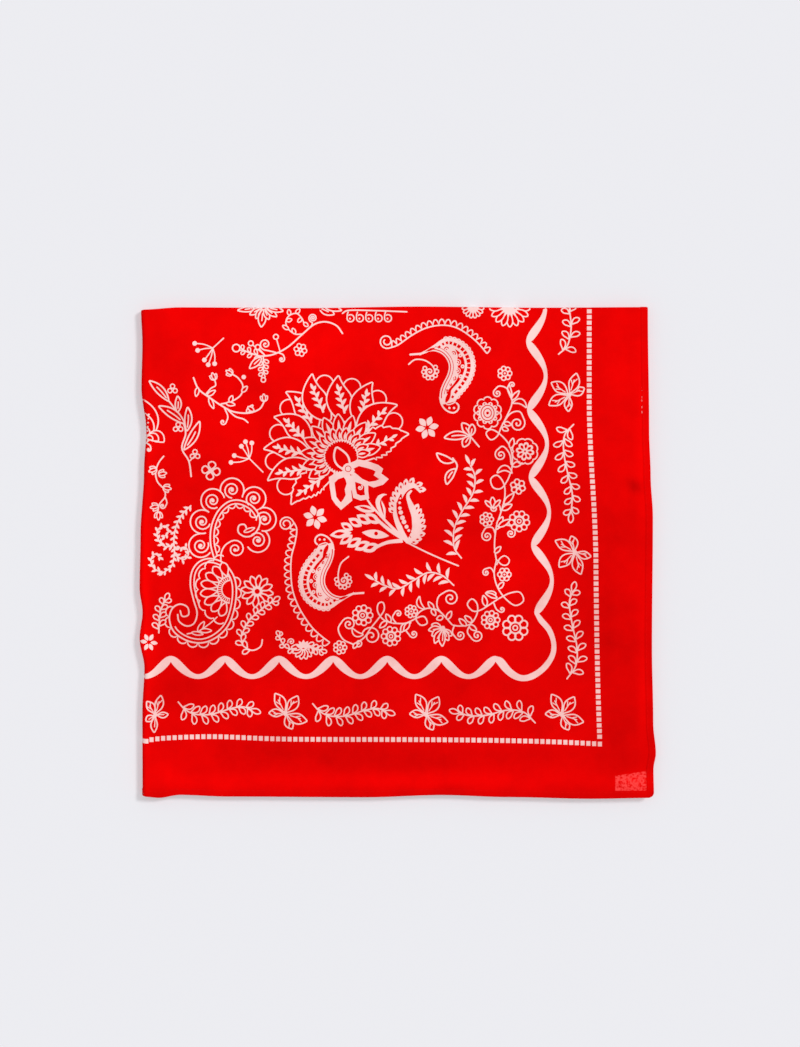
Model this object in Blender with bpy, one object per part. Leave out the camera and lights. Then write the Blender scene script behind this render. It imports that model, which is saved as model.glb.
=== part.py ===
"""Cotton bandana folded in quarters and laid flat, with its printed face up.

The left and top sides are folds. The right and bottom sides are the cloth's own hemmed
edges. The frame has +X along the bottom hem, +Y towards the top fold and +Z up, with
its origin at the middle of the underside. Lengths are in millimetres until a mesh is
made, which turns them into metres.
"""

from typing import NamedTuple

import bpy
import numpy as np

MM = 0.001

# The folded packet, and the whole cloth is twice as wide and twice as deep.
WIDTH = 275.0
DEPTH = 262.0

# The cloth's wall, the clearance between neighbours, and the packet's levels.
WALL = 1.0
GAP = 0.3
SLACK = 0.1
LAYER = 1.1
LAYER_PITCH = LAYER + GAP
HIDDEN_TOP = 2 * LAYER_PITCH + LAYER
PANEL_BASE = HIDDEN_TOP + GAP
PANEL_TOP = PANEL_BASE + WALL

# The outer fold on the left wraps all four layers, and each top fold wraps two.
LEFT_RADIUS = PANEL_TOP - (LAYER_PITCH + LAYER + GAP)
TOP_RADIUS = (PANEL_TOP - 2 * LAYER_PITCH) / 2
CORNER_RADIUS = 3.0

# Sections are this far apart along the sides, away from the folds.
STATION = 11.0

# Corners as (side in X, side in Y), where 0 is the left or bottom side.
BOTTOM_LEFT = (0, 0)
BOTTOM_RIGHT = (1, 0)
TOP_LEFT = (0, 1)
TOP_RIGHT = (1, 1)
ALL_CORNERS = (BOTTOM_LEFT, BOTTOM_RIGHT, TOP_LEFT, TOP_RIGHT)

# Hems are turned twice, so they are thicker than the panel.
HEM_WIDTH = 4.0
HEM_THICK = 1.4
HEM_ROUND = 0.6

# The hidden layers open at their edges by this depth.
SLOT_DEPTH = 3.0
EDGE_ROUND = 0.45

# The care label lies under the panel, in from the free corner.
LABEL_SIZE = (17.0, 10.0)
LABEL_FROM_CORNER = (5.5, 5.5)
LABEL_THICK = 0.8

RED = (0.84, 0.006, 0.008, 1.0)
PALE_RED = (0.80, 0.21, 0.20, 1.0)


class Bend(NamedTuple):
    """How far a side lies inside the packet's box, at a distance along that side."""

    along: float
    inset: float


# The left and right sides are read down from the top fold.
LEFT_FOLD = (
    Bend(0, 0.8),
    Bend(18, 1.5),
    Bend(42, 1.0),
    Bend(65, 3.6),
    Bend(86, 2.4),
    Bend(122, 0.5),
    Bend(150, 0.0),
    Bend(163, 1.6),
    Bend(177, 0.0),
    Bend(193, 2.6),
    Bend(216, 1.5),
    Bend(262, 1.6),
)
RIGHT_EDGE = (
    Bend(0, 4.3),
    Bend(66, 3.6),
    Bend(90, 2.8),
    Bend(112, 1.6),
    Bend(182, 2.1),
    Bend(222, 1.4),
    Bend(238, 0.0),
    Bend(246, 1.3),
    Bend(262, 1.0),
)

# The top and bottom sides are read rightwards from the left fold.
TOP_FOLD = (
    Bend(0, 1.6),
    Bend(20, 0.4),
    Bend(90, 0.8),
    Bend(150, 0.0),
    Bend(215, 0.6),
    Bend(275, 0.3),
)
BOTTOM_EDGE = (
    Bend(0, 1.2),
    Bend(9, 0.5),
    Bend(20, 2.1),
    Bend(46, 1.2),
    Bend(120, 0.8),
    Bend(160, 2.0),
    Bend(196, 0.9),
    Bend(240, 0.0),
    Bend(275, 0.5),
)


class Roll(NamedTuple):
    """A soft ridge of the panel: its middle, half lengths, turn in degrees and rise."""

    x: float
    y: float
    along: float
    across: float
    turn: float
    rise: float


ROLLS = (
    Roll(-130, -70, 90, 4, 90, 0.45),
    Roll(-130, 60, 70, 4, 90, 0.30),
    Roll(-124, -124, 14, 4, 12, 0.45),
    Roll(112, -60, 60, 9, 92, 0.30),
    Roll(20, -108, 110, 9, 2, 0.25),
    Roll(-60, 40, 90, 28, 20, 0.25),
    Roll(60, 70, 80, 24, -30, 0.20),
    Roll(118, 32, 16, 9, 40, 0.30),
)


class Ring(NamedTuple):
    """One level of the hidden layers: its height, and its inset on each side."""

    height: float
    left: float
    right: float
    bottom: float
    top: float


def eased(table, along):
    """Read a side's inset between its rows, with a smooth step from row to row."""
    marks = np.array([row.along for row in table])
    insets = np.array([row.inset for row in table])
    place = np.interp(along, marks, np.arange(len(table)))
    low = np.minimum(place.astype(int), len(table) - 2)
    part = place - low
    part = part * part * (3 - 2 * part)
    return insets[low] * (1 - part) + insets[low + 1] * part


def drop(distance, radius):
    """How far a quarter-round edge falls, at a distance in from its side."""
    if radius <= 0:
        return np.zeros_like(distance)
    reach = np.clip(radius - distance, 0, radius)
    return radius - np.sqrt(radius**2 - reach**2)


def plan(p, q, left=0.0, right=0.0, bottom=0.0, top=0.0, corners=ALL_CORNERS):
    """Place (p, q) in the packet's outline, where (0, 0) is its bottom left corner.

    Returns x and y, and the distances from the left and top sides. Near each of the
    corners named, the square grid is squeezed into a quarter disc.
    """
    down = top + (1 - q) * (DEPTH - bottom - top)
    rightwards = left + p * (WIDTH - left - right)
    from_left = eased(LEFT_FOLD, down) + left
    from_right = eased(RIGHT_EDGE, down) + right
    from_bottom = eased(BOTTOM_EDGE, rightwards) + bottom
    from_top = eased(TOP_FOLD, rightwards) + top
    span_x = WIDTH - from_left - from_right
    span_y = DEPTH - from_bottom - from_top
    x = -WIDTH / 2 + from_left + p * span_x
    y = -DEPTH / 2 + from_bottom + q * span_y
    for side_x, side_y in corners:
        a = np.clip(1 - np.abs(side_x - p) * span_x / CORNER_RADIUS, 0, 1)
        b = np.clip(1 - np.abs(side_y - q) * span_y / CORNER_RADIUS, 0, 1)
        inwards_x = CORNER_RADIUS * a * (1 - np.sqrt(1 - b * b / 2))
        inwards_y = CORNER_RADIUS * b * (1 - np.sqrt(1 - a * a / 2))
        x = x + (1 - 2 * side_x) * inwards_x
        y = y + (1 - 2 * side_y) * inwards_y
    return x, y, p * span_x, (1 - q) * span_y


def relief(x, y):
    """The soft rolls of the panel, each one a smooth bell about its own line."""
    rise = np.zeros_like(x)
    for roll in ROLLS:
        turn = np.radians(roll.turn)
        along = (x - roll.x) * np.cos(turn) + (y - roll.y) * np.sin(turn)
        across = (y - roll.y) * np.cos(turn) - (x - roll.x) * np.sin(turn)
        rise += roll.rise * np.exp(-((along / roll.along) ** 2) - (across / roll.across) ** 2)
    return rise


def lip_steps(radius, steps=5):
    """Distances in from a side that step finely round a quarter-round of this radius."""
    return radius * (1 - np.cos(np.linspace(0, np.pi / 2, steps)))


def fold_marks(span):
    """Distances in from a fold that every piece shares, so that neighbours stay parallel."""
    return np.concatenate([[4.0, 6.5, 9.5, 14.0], np.arange(20.0, span - 6.0, STATION)])


def finish_mesh(name, points, faces, colour, roughness):
    """Make a named object from points in millimetres, with its own material."""
    mesh = bpy.data.meshes.new(name)
    mesh.from_pydata((np.asarray(points) * MM).tolist(), [], faces)
    mesh.update()
    mesh.shade_smooth()
    mesh.set_sharp_from_angle(angle=np.radians(40))
    obj = bpy.data.objects.new(name, mesh)
    bpy.context.scene.collection.objects.link(obj)
    material = bpy.data.materials.new(name + "_material")
    material.use_nodes = True
    shader = material.node_tree.nodes["Principled BSDF"]
    shader.inputs["Base Color"].default_value = colour
    shader.inputs["Roughness"].default_value = roughness
    shader.inputs["Metallic"].default_value = 0.0
    mesh.materials.append(material)
    return obj


def close_wall(upper, lower):
    """Join an upper and a lower grid into one closed wall, as points and faces."""
    rows, cols = upper.shape[:2]
    points = np.concatenate([upper.reshape(-1, 3), lower.reshape(-1, 3)])
    index = np.arange(rows * cols).reshape(rows, cols)
    under = index + rows * cols
    quads = np.stack([index[:-1, :-1], index[:-1, 1:], index[1:, 1:], index[1:, :-1]], -1)
    faces = quads.reshape(-1, 4).tolist()
    faces += (quads[..., ::-1] + rows * cols).reshape(-1, 4).tolist()
    rim = np.concatenate([index[0, :-1], index[:-1, -1], index[-1, :0:-1], index[:0:-1, 0]])
    low = np.concatenate([under[0, :-1], under[:-1, -1], under[-1, :0:-1], under[:0:-1, 0]])
    for here in range(len(rim)):
        after = (here + 1) % len(rim)
        faces.append([int(rim[after]), int(rim[here]), int(low[here]), int(low[after])])
    return points, faces


def wall_piece(name, cols, rows, insets, thick, edge_round, at_left=True, at_top=True):
    """Make a panel or a hem: a wall that curls down over the folds it reaches.

    cols and rows are positions from 0 to 1 inside the outline that insets leave.
    """
    p, q = np.meshgrid(cols, rows)
    x, y, from_left, from_top = plan(p, q, **insets)
    left_radius = LEFT_RADIUS if at_left else 0.0
    top_radius = TOP_RADIUS if at_top else 0.0
    fall = np.hypot(drop(from_left, left_radius), drop(from_top, top_radius))
    from_right = from_left.max(axis=1, keepdims=True) - from_left
    from_bottom = from_top.max(axis=0, keepdims=True) - from_top
    rounding = np.hypot(
        drop(from_right, edge_round["right"]), drop(from_bottom, edge_round["bottom"])
    )
    lift = relief(x, y)
    upper = np.stack([x, y, PANEL_BASE + thick + lift - fall - rounding], axis=-1)

    inner = dict(insets)
    if at_left:
        inner["left"] = insets.get("left", 0.0) + WALL
    if at_top:
        inner["top"] = insets.get("top", 0.0) + WALL
    x, y, from_left, from_top = plan(p, q, **inner)
    fall = np.hypot(
        drop(from_left, max(left_radius - WALL, 0)), drop(from_top, max(top_radius - WALL, 0))
    )
    lower = np.stack([x, y, PANEL_BASE + lift - fall + rounding], axis=-1)
    points, faces = close_wall(upper, lower)
    return finish_mesh(name, points, faces, RED, 0.85)


def front_quarter():
    """The printed quarter that shows, from both folds to the two hems."""
    inset = HEM_WIDTH + GAP
    across = np.concatenate([lip_steps(LEFT_RADIUS), fold_marks(WIDTH), [WIDTH - inset]])
    down = np.concatenate([lip_steps(TOP_RADIUS), fold_marks(DEPTH), [DEPTH - inset]])
    cols = across / (WIDTH - inset)
    rows = 1 - down[::-1] / (DEPTH - inset)
    square = {"right": 0.0, "bottom": 0.0}
    insets = {"right": inset, "bottom": inset, "corners": (TOP_LEFT,)}
    return wall_piece("front_quarter", cols, rows, insets, WALL, square)


def hem_steps():
    """Distances in from a hem's outer edge to its inner one."""
    return np.concatenate([lip_steps(HEM_ROUND, 4), [HEM_WIDTH / 2, HEM_WIDTH]])


def bottom_hem():
    """The bottom edge's turned hem, from the left fold to the free corner."""
    across = np.concatenate(
        [lip_steps(LEFT_RADIUS), fold_marks(WIDTH), WIDTH - lip_steps(CORNER_RADIUS)[::-1]]
    )
    edges = {"right": HEM_ROUND, "bottom": HEM_ROUND}
    insets = {"corners": (BOTTOM_LEFT, BOTTOM_RIGHT)}
    rows = hem_steps() / DEPTH
    return wall_piece("bottom_hem", across / WIDTH, rows, insets, HEM_THICK, edges, at_top=False)


def right_hem():
    """The right edge's turned hem, from the bottom hem to the top fold."""
    inset = HEM_WIDTH + GAP
    down = np.concatenate([lip_steps(TOP_RADIUS), fold_marks(DEPTH), [DEPTH - inset]])
    cols = 1 - hem_steps()[::-1] / WIDTH
    rows = 1 - down[::-1] / (DEPTH - inset)
    edges = {"right": HEM_ROUND, "bottom": 0.0}
    insets = {"bottom": inset, "corners": (TOP_RIGHT,)}
    return wall_piece("right_hem", cols, rows, insets, HEM_THICK, edges, at_left=False)


def edge_rings(level, slack_right, slack_bottom):
    """Heights of one hidden layer, with the rounded insets of its free edges."""
    steps = ((0.0, EDGE_ROUND), (0.3, 0.0), (0.7, 0.0), (1.0, EDGE_ROUND))
    return [
        (level + part * LAYER, slack_right + inset, slack_bottom + inset) for part, inset in steps
    ]


def fold_inset(height, low, high):
    """Inset of a half-round fold that spans two heights."""
    radius = (high - low) / 2
    reach = min(abs(height - (low + high) / 2), radius)
    return radius - (radius**2 - reach**2) ** 0.5


def left_inset(height):
    """Inset of the left side: the outer fold's lower half, then the inner fold under the lip."""
    tip = PANEL_TOP - LEFT_RADIUS
    if height < tip - GAP + 1e-6:
        radius = tip - GAP
        reach = radius - height
        return radius - (radius**2 - reach**2) ** 0.5
    nose = LEFT_RADIUS - WALL - GAP - SLACK
    reach = min(max(height - tip, 0.0), nose)
    return LEFT_RADIUS - (nose**2 - reach**2) ** 0.5


def top_inset(height):
    """Inset of the top side: the lower pair's fold, then the lower half of the upper fold."""
    pair_top = LAYER_PITCH + LAYER
    if height < pair_top + 1e-6:
        return fold_inset(height, 0.0, pair_top)
    if height < PANEL_TOP - TOP_RADIUS - GAP + 1e-6:
        return fold_inset(height, 2 * LAYER_PITCH, PANEL_TOP)
    return WALL + GAP + SLACK


def hidden_rings():
    """The levels of the hidden layers, from the underside up, with a slot between layers."""
    layers = (
        edge_rings(0.0, 1.0, 0.8),
        edge_rings(LAYER_PITCH, 1.8, 1.7),
        edge_rings(2 * LAYER_PITCH, 0.7, 1.1),
    )
    rings = []
    for number, layer in enumerate(layers):
        for height, right, bottom in layer:
            rings.append(Ring(height, left_inset(height), right, bottom, top_inset(height)))
        if number == 2:
            break
        low = rings[-1]
        high = layers[number + 1][0][0]
        # Only the free edges open between the first pair; the top opens between the pairs.
        slot_top = SLOT_DEPTH if number == 1 else top_inset((low.height + high) / 2)
        slot_left = left_inset(high) if number == 1 else left_inset((low.height + high) / 2)
        for height in (low.height, high):
            rings.append(Ring(height, slot_left, SLOT_DEPTH, SLOT_DEPTH, slot_top))
    return rings


def hidden_layers():
    """The three hidden quarters as one rounded solid, open between layers at its edges."""
    corner = lip_steps(CORNER_RADIUS, 4)
    across = np.concatenate([corner, fold_marks(WIDTH), WIDTH - corner[::-1]]) / WIDTH
    down = np.concatenate([corner, fold_marks(DEPTH), DEPTH - corner[::-1]]) / DEPTH
    up = 1 - down[::-1]
    # Anticlockwise from the bottom left corner, each side without its last point.
    p = np.concatenate([across[:-1], 0 * up[:-1] + 1, across[:0:-1], 0 * up[:-1]])
    q = np.concatenate([0 * across[:-1], up[:-1], 0 * across[:-1] + 1, up[:0:-1]])
    rings = []
    for ring in hidden_rings():
        x, y, _, _ = plan(p, q, ring.left, ring.right, ring.bottom, ring.top)
        rings.append(np.stack([x, y, np.full_like(x, ring.height)], axis=-1))
    count = len(p)
    faces = [list(range(count))[::-1]]
    for level in range(len(rings) - 1):
        base = level * count
        for here in range(count):
            after = (here + 1) % count
            faces.append(
                [base + here, base + after, base + count + after, base + count + here]
            )
    faces.append([(len(rings) - 1) * count + here for here in range(count)])
    solid = finish_mesh("hidden_layers", np.concatenate(rings), faces, RED, 0.85)
    solid.modifiers.new("label_recess", "BOOLEAN").object = label_cutter()
    return solid


def label_box(spare, low, high):
    """Points and faces of the care label's block, grown by spare on its sides."""
    right = WIDTH / 2 - LABEL_FROM_CORNER[0] + spare
    left = right - LABEL_SIZE[0] - 2 * spare
    bottom = -DEPTH / 2 + LABEL_FROM_CORNER[1] - spare
    top = bottom + LABEL_SIZE[1] + 2 * spare
    x, y = np.meshgrid(np.linspace(left, right, 6), np.linspace(bottom, top, 4))
    upper = np.stack([x, y, np.full_like(x, high)], axis=-1)
    lower = np.stack([x, y, np.full_like(x, low)], axis=-1)
    return close_wall(upper, lower)


def label_cutter():
    """The block that clears the label's recess in the hidden layers."""
    low = HIDDEN_TOP - LABEL_THICK - GAP
    points, faces = label_box(GAP, low, HIDDEN_TOP + 1.0)
    cutter = finish_mesh("label_recess_cutter", points, faces, RED, 0.85)
    cutter.hide_render = True
    cutter.display_type = "WIRE"
    return cutter


def care_label():
    """The woven care label sewn to the reverse, which shows faintly through the cloth."""
    points, faces = label_box(0.0, HIDDEN_TOP - LABEL_THICK, HIDDEN_TOP)
    return finish_mesh("care_label", points, faces, PALE_RED, 0.6)


def main():
    """Clear the scene, then build every piece."""
    for obj in list(bpy.data.objects):
        bpy.data.objects.remove(obj, do_unlink=True)
    hidden_layers()
    front_quarter()
    bottom_hem()
    right_hem()
    care_label()


main()
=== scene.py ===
"""A red cotton bandana with a pale floral print, folded in quarters and laid flat.

The whole cloth is one sheet. A place on it is a complex number in millimetres: its real
part runs right from the left fold and its imaginary part runs down from the top fold, so
the quarter that shows has both parts positive. The other quarters have one or both parts
negative, and the two folds carry them underneath. The print is placed as it lies on the
front, and FoldedSheet.unfolded carries it back to the flat cloth.
"""

import logging
import math
from dataclasses import dataclass, field
from enum import Enum
from typing import NamedTuple, Sequence

import bpy
import numpy as np
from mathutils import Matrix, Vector
from mathutils.geometry import delaunay_2d_cdt


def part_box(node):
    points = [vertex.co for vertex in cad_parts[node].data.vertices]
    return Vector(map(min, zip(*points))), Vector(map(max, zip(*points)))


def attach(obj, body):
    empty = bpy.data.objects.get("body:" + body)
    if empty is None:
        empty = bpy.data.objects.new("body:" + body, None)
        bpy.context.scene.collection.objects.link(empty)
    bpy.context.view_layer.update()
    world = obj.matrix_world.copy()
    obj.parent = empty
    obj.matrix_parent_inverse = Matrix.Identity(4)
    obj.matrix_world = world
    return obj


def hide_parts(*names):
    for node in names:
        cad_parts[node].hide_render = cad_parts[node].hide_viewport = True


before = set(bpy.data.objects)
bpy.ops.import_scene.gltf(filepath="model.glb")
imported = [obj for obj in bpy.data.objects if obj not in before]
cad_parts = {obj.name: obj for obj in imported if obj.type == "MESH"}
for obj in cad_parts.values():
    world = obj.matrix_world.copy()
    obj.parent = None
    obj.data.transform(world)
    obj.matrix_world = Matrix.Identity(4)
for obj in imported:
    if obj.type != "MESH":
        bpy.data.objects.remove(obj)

Array = np.ndarray
Material = bpy.types.Material
Object = bpy.types.Object
Socket = bpy.types.NodeSocket

log = logging.getLogger("bandana")
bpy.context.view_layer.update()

# One millimetre in metres.
MM = 0.001
# How far the label lies from the middle of its solid, in metres.
LABEL_SHIFT = (0.0012, -0.0009, 0.0)
# The width of a plain printed line, how much of a line's width is printed, and the distance
# between the points of a path, in millimetres.
LINE = 0.88
WEIGHT = 0.84
STEP = 0.9
# Points of a smooth path between two given ones.
FINE = 20
# Where the end of a rounded line has its first points, and how wide it is there at least.
CAP = np.array([0, 0.13, 0.5, 1])
CAP_LEAST = 0.02


# ---------------------------------------------------------------- paths on the flat cloth


def evened(path: Array, step: float = STEP) -> Array:
    """Space a path's points evenly.

    Args:
        path: Points along the path.
        step: Distance wanted between points.

    Returns:
        The same path with points at equal distances.
    """
    run = runs(path)
    count = max(int(run[-1] / step) + 1, 3) + 1
    return np.interp(np.linspace(0, run[-1], count), run, path)


def bend(points: Sequence[complex], step: float = STEP, closed: bool = False) -> Array:
    """Carry a smooth path through a few points.

    Each stretch is a cubic whose slope at a point is half the step between its neighbours.

    Args:
        points: The points to pass through.
        step: Distance between the path's own points.
        closed: Whether the path comes back to its start.

    Returns:
        The evened path.
    """
    knots = np.asarray(points, dtype=complex)
    if closed:
        knots = np.concatenate([knots[-1:], knots, knots[:2]])
    else:
        knots = np.concatenate([2 * knots[:1] - knots[1:2], knots, 2 * knots[-1:] - knots[-2:-1]])
    t = np.linspace(0, 1, FINE, endpoint=False)
    a, b, c, d = (knots[i : len(knots) - 3 + i, None] for i in range(4))
    path = b + 0.5 * t * (c - a + t * (2 * a - 5 * b + 4 * c - d + t * (3 * b - a - 3 * c + d)))
    return evened(np.append(path.ravel(), knots[-2]), step)


def heading(path: Array) -> Array:
    """Give the unit direction of travel at each point of a path."""
    step = np.gradient(path)
    return step / np.maximum(np.abs(step), 1e-9)


def turned(degrees: float) -> complex:
    """Give the unit direction at an angle, clockwise from rightwards."""
    return complex(math.cos(math.radians(degrees)), math.sin(math.radians(degrees)))


def joined(*places: complex, step: float = STEP) -> Array:
    """Join places with straight stretches."""
    return evened(np.array(places), step)


def evenly(path: Array) -> Array:
    """Give each point's share of the way along a path, by its number."""
    return np.linspace(0, 1, len(path))


def length_of(path: Array) -> float:
    """Measure a path."""
    return float(np.abs(np.diff(path)).sum())


def runs(path: Array) -> Array:
    """Measure the way along a path from its start to each of its points."""
    return np.append(0, np.cumsum(np.abs(np.diff(path))))


def arc(centre: complex, radius: float, start: float, end: float, step: float = STEP) -> Array:
    """Draw a circular arc.

    Args:
        centre: Its middle.
        radius: Its radius.
        start: The angle that it starts at, in degrees.
        end: The angle that it ends at.
        step: Distance wanted between points.

    Returns:
        The arc's points.
    """
    count = max(int(abs(end - start) * math.pi / 180 * radius / step), 6)
    return centre + radius * np.exp(1j * np.radians(np.linspace(start, end, count + 1)))


def spiral(centre: complex, radius: float, start: float, turns: float = 1.5, inner: float = 0.12) -> Array:
    """Draw a spiral: a radius that falls evenly as the angle grows.

    Args:
        centre: Its middle.
        radius: Its radius at the outer end.
        start: The outer end's angle in degrees.
        turns: Number of turns, negative for anticlockwise.
        inner: The inner end's share of the radius.

    Returns:
        The path from the outer end inwards.
    """
    s = np.linspace(0, 1, max(int(abs(turns) * 16), 8))
    reach = radius * (1 - (1 - inner) * s)
    return centre + reach * np.exp(1j * np.radians(start + 360 * turns * s))


def arches(path: Array, depth: float, pitch: float, power: float = 0.5) -> Array:
    """Stand a row of arches on a path: the offset is a power of a rectified sine.

    Args:
        path: The line that they stand on.
        depth: Height of an arch, positive to the right of travel.
        pitch: Width wanted for an arch.
        power: How square an arch is.

    Returns:
        The line over all the arches.
    """
    length = length_of(path)
    count = max(round(length / pitch), 1)
    base = evened(path, length / (count * 8) * 1.0001)
    u = np.linspace(0, count, len(base))
    return base + 1j * heading(base) * depth * np.abs(np.sin(np.pi * u)) ** power


class Leaf(Enum):
    """How a leaf or petal is printed."""

    SOLID = "solid"
    LOOP = "loop"
    VEINED = "veined"


@dataclass
class Pen:
    """The print's shapes in drawing order, each one a strip between two edges.

    A later strip covers an earlier one, and a strip without ink leaves bare cloth.
    """

    strips: list[tuple[Array, Array, bool]] = field(default_factory=list)

    def strip(self, left: Array, right: Array, ink: bool = True) -> None:
        """Lay a strip between two edges with as many points."""
        self.strips.append((left, right, ink))

    def swell(self, path: Array, half: Array, ink: bool = True) -> None:
        """Carry a half width along a path."""
        side = 1j * heading(path) * half
        self.strip(path + side, path - side, ink)

    def line(self, path: Array, width: float = LINE, ink: bool = True) -> None:
        """Draw a line of even width, whose ends are quarter-rounds."""
        run = runs(path)
        half = width / 2 * (WEIGHT if ink else 1)
        if run[-1] > 2.5 * width:
            caps = half * CAP
            inner = run[(run > 1.3 * half) & (run < run[-1] - 1.3 * half)]
            marks = np.concatenate([caps, inner, run[-1] - caps[::-1]])
            path = np.interp(marks, run, path)
            near = np.clip(np.minimum(marks, run[-1] - marks) / half, CAP_LEAST, 1)
            self.swell(path, half * np.sqrt(near * (2 - near)), ink)
        else:
            self.swell(path, np.full(len(path), half), ink)

    def stem(self, points: Sequence[complex], width: float = LINE) -> None:
        """Draw a smooth line of even width through a few points."""
        self.line(bend(points), width)

    def disc(self, centre: complex, radius: float, ink: bool = True) -> None:
        """Fill a disc, as a strip between its upper and lower halves."""
        angle = np.linspace(0, np.pi, 9)
        edge = radius * np.exp(1j * angle)
        self.strip(centre + np.conj(edge), centre + edge, ink)

    def band(self, outer: Sequence[complex], inner: Sequence[complex], ink: bool = True) -> None:
        """Fill between two closed outlines with as many corners."""
        self.strip(np.append(outer, outer[0]), np.append(inner, inner[0]), ink)

    def ring(self, centre: complex, radius: float, width: float = LINE) -> None:
        """Draw a circle, with bare cloth inside it."""
        self.disc(centre, radius, ink=False)
        self.line(arc(centre, radius, 0, 372, min(STEP, radius / 3)), width)

    def leaf(
        self,
        base: complex,
        tip: complex,
        width: float,
        kind: Leaf = Leaf.LOOP,
        bulge: float = 0.85,
        bow: float = 0.0,
        line: float = 0.8,
        fill: float = 0.85,
    ) -> None:
        """Draw a leaf or a petal: half its width is a power of a sine along its bowed spine.

        Args:
            base: Where it grows from.
            tip: Its point.
            width: Its full width.
            kind: Solid, a plain loop, or a loop with a vein.
            bulge: Below 1 it is fullest near its base, and above 1 near its tip.
            bow: How far its spine bows sideways, as a share of its length.
            line: Width of the loop's line.
            fill: The sine's power, which makes its ends blunter as it falls.
        """
        length = abs(tip - base)
        s = np.linspace(0, 1, max(int(length / STEP), 9))
        spine = base + (tip - base) * (s + 1j * bow * np.sin(np.pi * s))
        side = 1j * heading(spine) * width / 2 * np.sin(np.pi * s**bulge) ** fill
        if kind is Leaf.SOLID:
            self.strip(spine + side, spine - side)
            return
        self.strip(spine + side, spine - side, ink=False)
        self.line(spine + side, line)
        self.line(spine - side, line)
        if kind is Leaf.VEINED:
            inner = spine[(s > 0.12) & (s < 0.72)]
            self.line(inner, line * 0.9)

    def leaves(self, rows: Sequence[tuple[complex, complex, float]]) -> None:
        """Draw a plain leaf for each row: its base, its tip and its width."""
        for base, tip, width in rows:
            self.leaf(base, tip, width, line=0.85)

    def drop(self, base: complex, tip: complex, width: float) -> None:
        """Leave a drop of bare cloth inside a solid shape."""
        s = np.linspace(0, 1, 8)
        self.swell(base + (tip - base) * s, width / 2 * np.sin(np.pi * s**1.2), ink=False)

    def curl(
        self, centre: complex, radius: float, start: float, turns: float = 1.5, line: float = LINE
    ) -> None:
        """Draw a spiral that ends in a small blob.

        Args:
            centre: Its middle.
            radius: Its radius at the outer end.
            start: The outer end's angle in degrees.
            turns: Number of turns, negative for anticlockwise.
            line: Width of its line.
        """
        path = spiral(centre, radius, start, turns)
        self.line(path, line)
        self.disc(path[-1], line * 0.62)

    def tendril(self, points: Sequence[complex], turns: float, radius: float) -> None:
        """Draw a stem that runs smoothly into a spiral at its end.

        Args:
            points: The stem, up to where the spiral starts.
            turns: The spiral's turns, negative for anticlockwise.
            radius: The spiral's radius.
        """
        path = bend(points)
        way = heading(path)[-1]
        side = 1j if turns > 0 else -1j
        centre = path[-1] + side * way * radius
        start = math.degrees(np.angle(path[-1] - centre))
        self.line(np.append(path[:-1], spiral(centre, radius, start, turns)))
        self.disc(spiral(centre, radius, start, turns)[-1], LINE * 0.6)

    def tendrils(self, rows: Sequence[tuple[Sequence[complex], float, float]]) -> None:
        """Draw a tendril for each row: its stem, its turns and its radius."""
        for stem, turns, radius in rows:
            self.tendril(stem, turns, radius)


# ---------------------------------------------------------------- motifs of the print


@dataclass
class Sprig:
    """A stem with leaves along both sides and one at its tip."""

    stem: Sequence[complex]
    leaf: float = 5.0
    width: float = 2.6
    gap: float = 5.0
    kind: Leaf = Leaf.LOOP
    spread: float = 46.0
    bare: float = 4.0
    line: float = 0.8
    stagger: float = 0.2

    def draw(self, pen: Pen) -> None:
        """Draw the stem, then a pair of leaves every gap along it, smaller to the tip."""
        path = bend(self.stem)
        run = runs(path)
        way = heading(path)
        bulge, fill = (1.3, 0.75) if self.kind is Leaf.LOOP else (1.0, 0.85)
        pen.line(path, LINE)
        last = run[-1] - 0.35 * self.leaf
        for mark in np.linspace(self.bare, last, max(round((last - self.bare) / self.gap) + 1, 2)):
            size = self.leaf * (1 - 0.25 * mark / run[-1])
            for side in (-1, 1):
                at = np.interp(mark + self.stagger * self.gap * side, run, path)
                along = np.interp(mark, run, way)
                foot = at + along * turned(side * 70) * 0.4
                tip = foot + along * turned(side * self.spread) * size
                pen.leaf(foot, tip, self.width, self.kind, bulge, -0.12 * side, self.line, fill)
        tip = path[-1] + way[-1] * self.leaf
        pen.leaf(path[-1], tip, self.width, self.kind, bulge, 0, self.line, fill)


class Petals(Enum):
    """The kinds of small flower head."""

    STAR = "solid pointed petals"
    DAISY = "pointed loops round a ring"
    ROUND = "round loops round a double ring"
    SCALLOP = "a scalloped ring round a bare flower"


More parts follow.
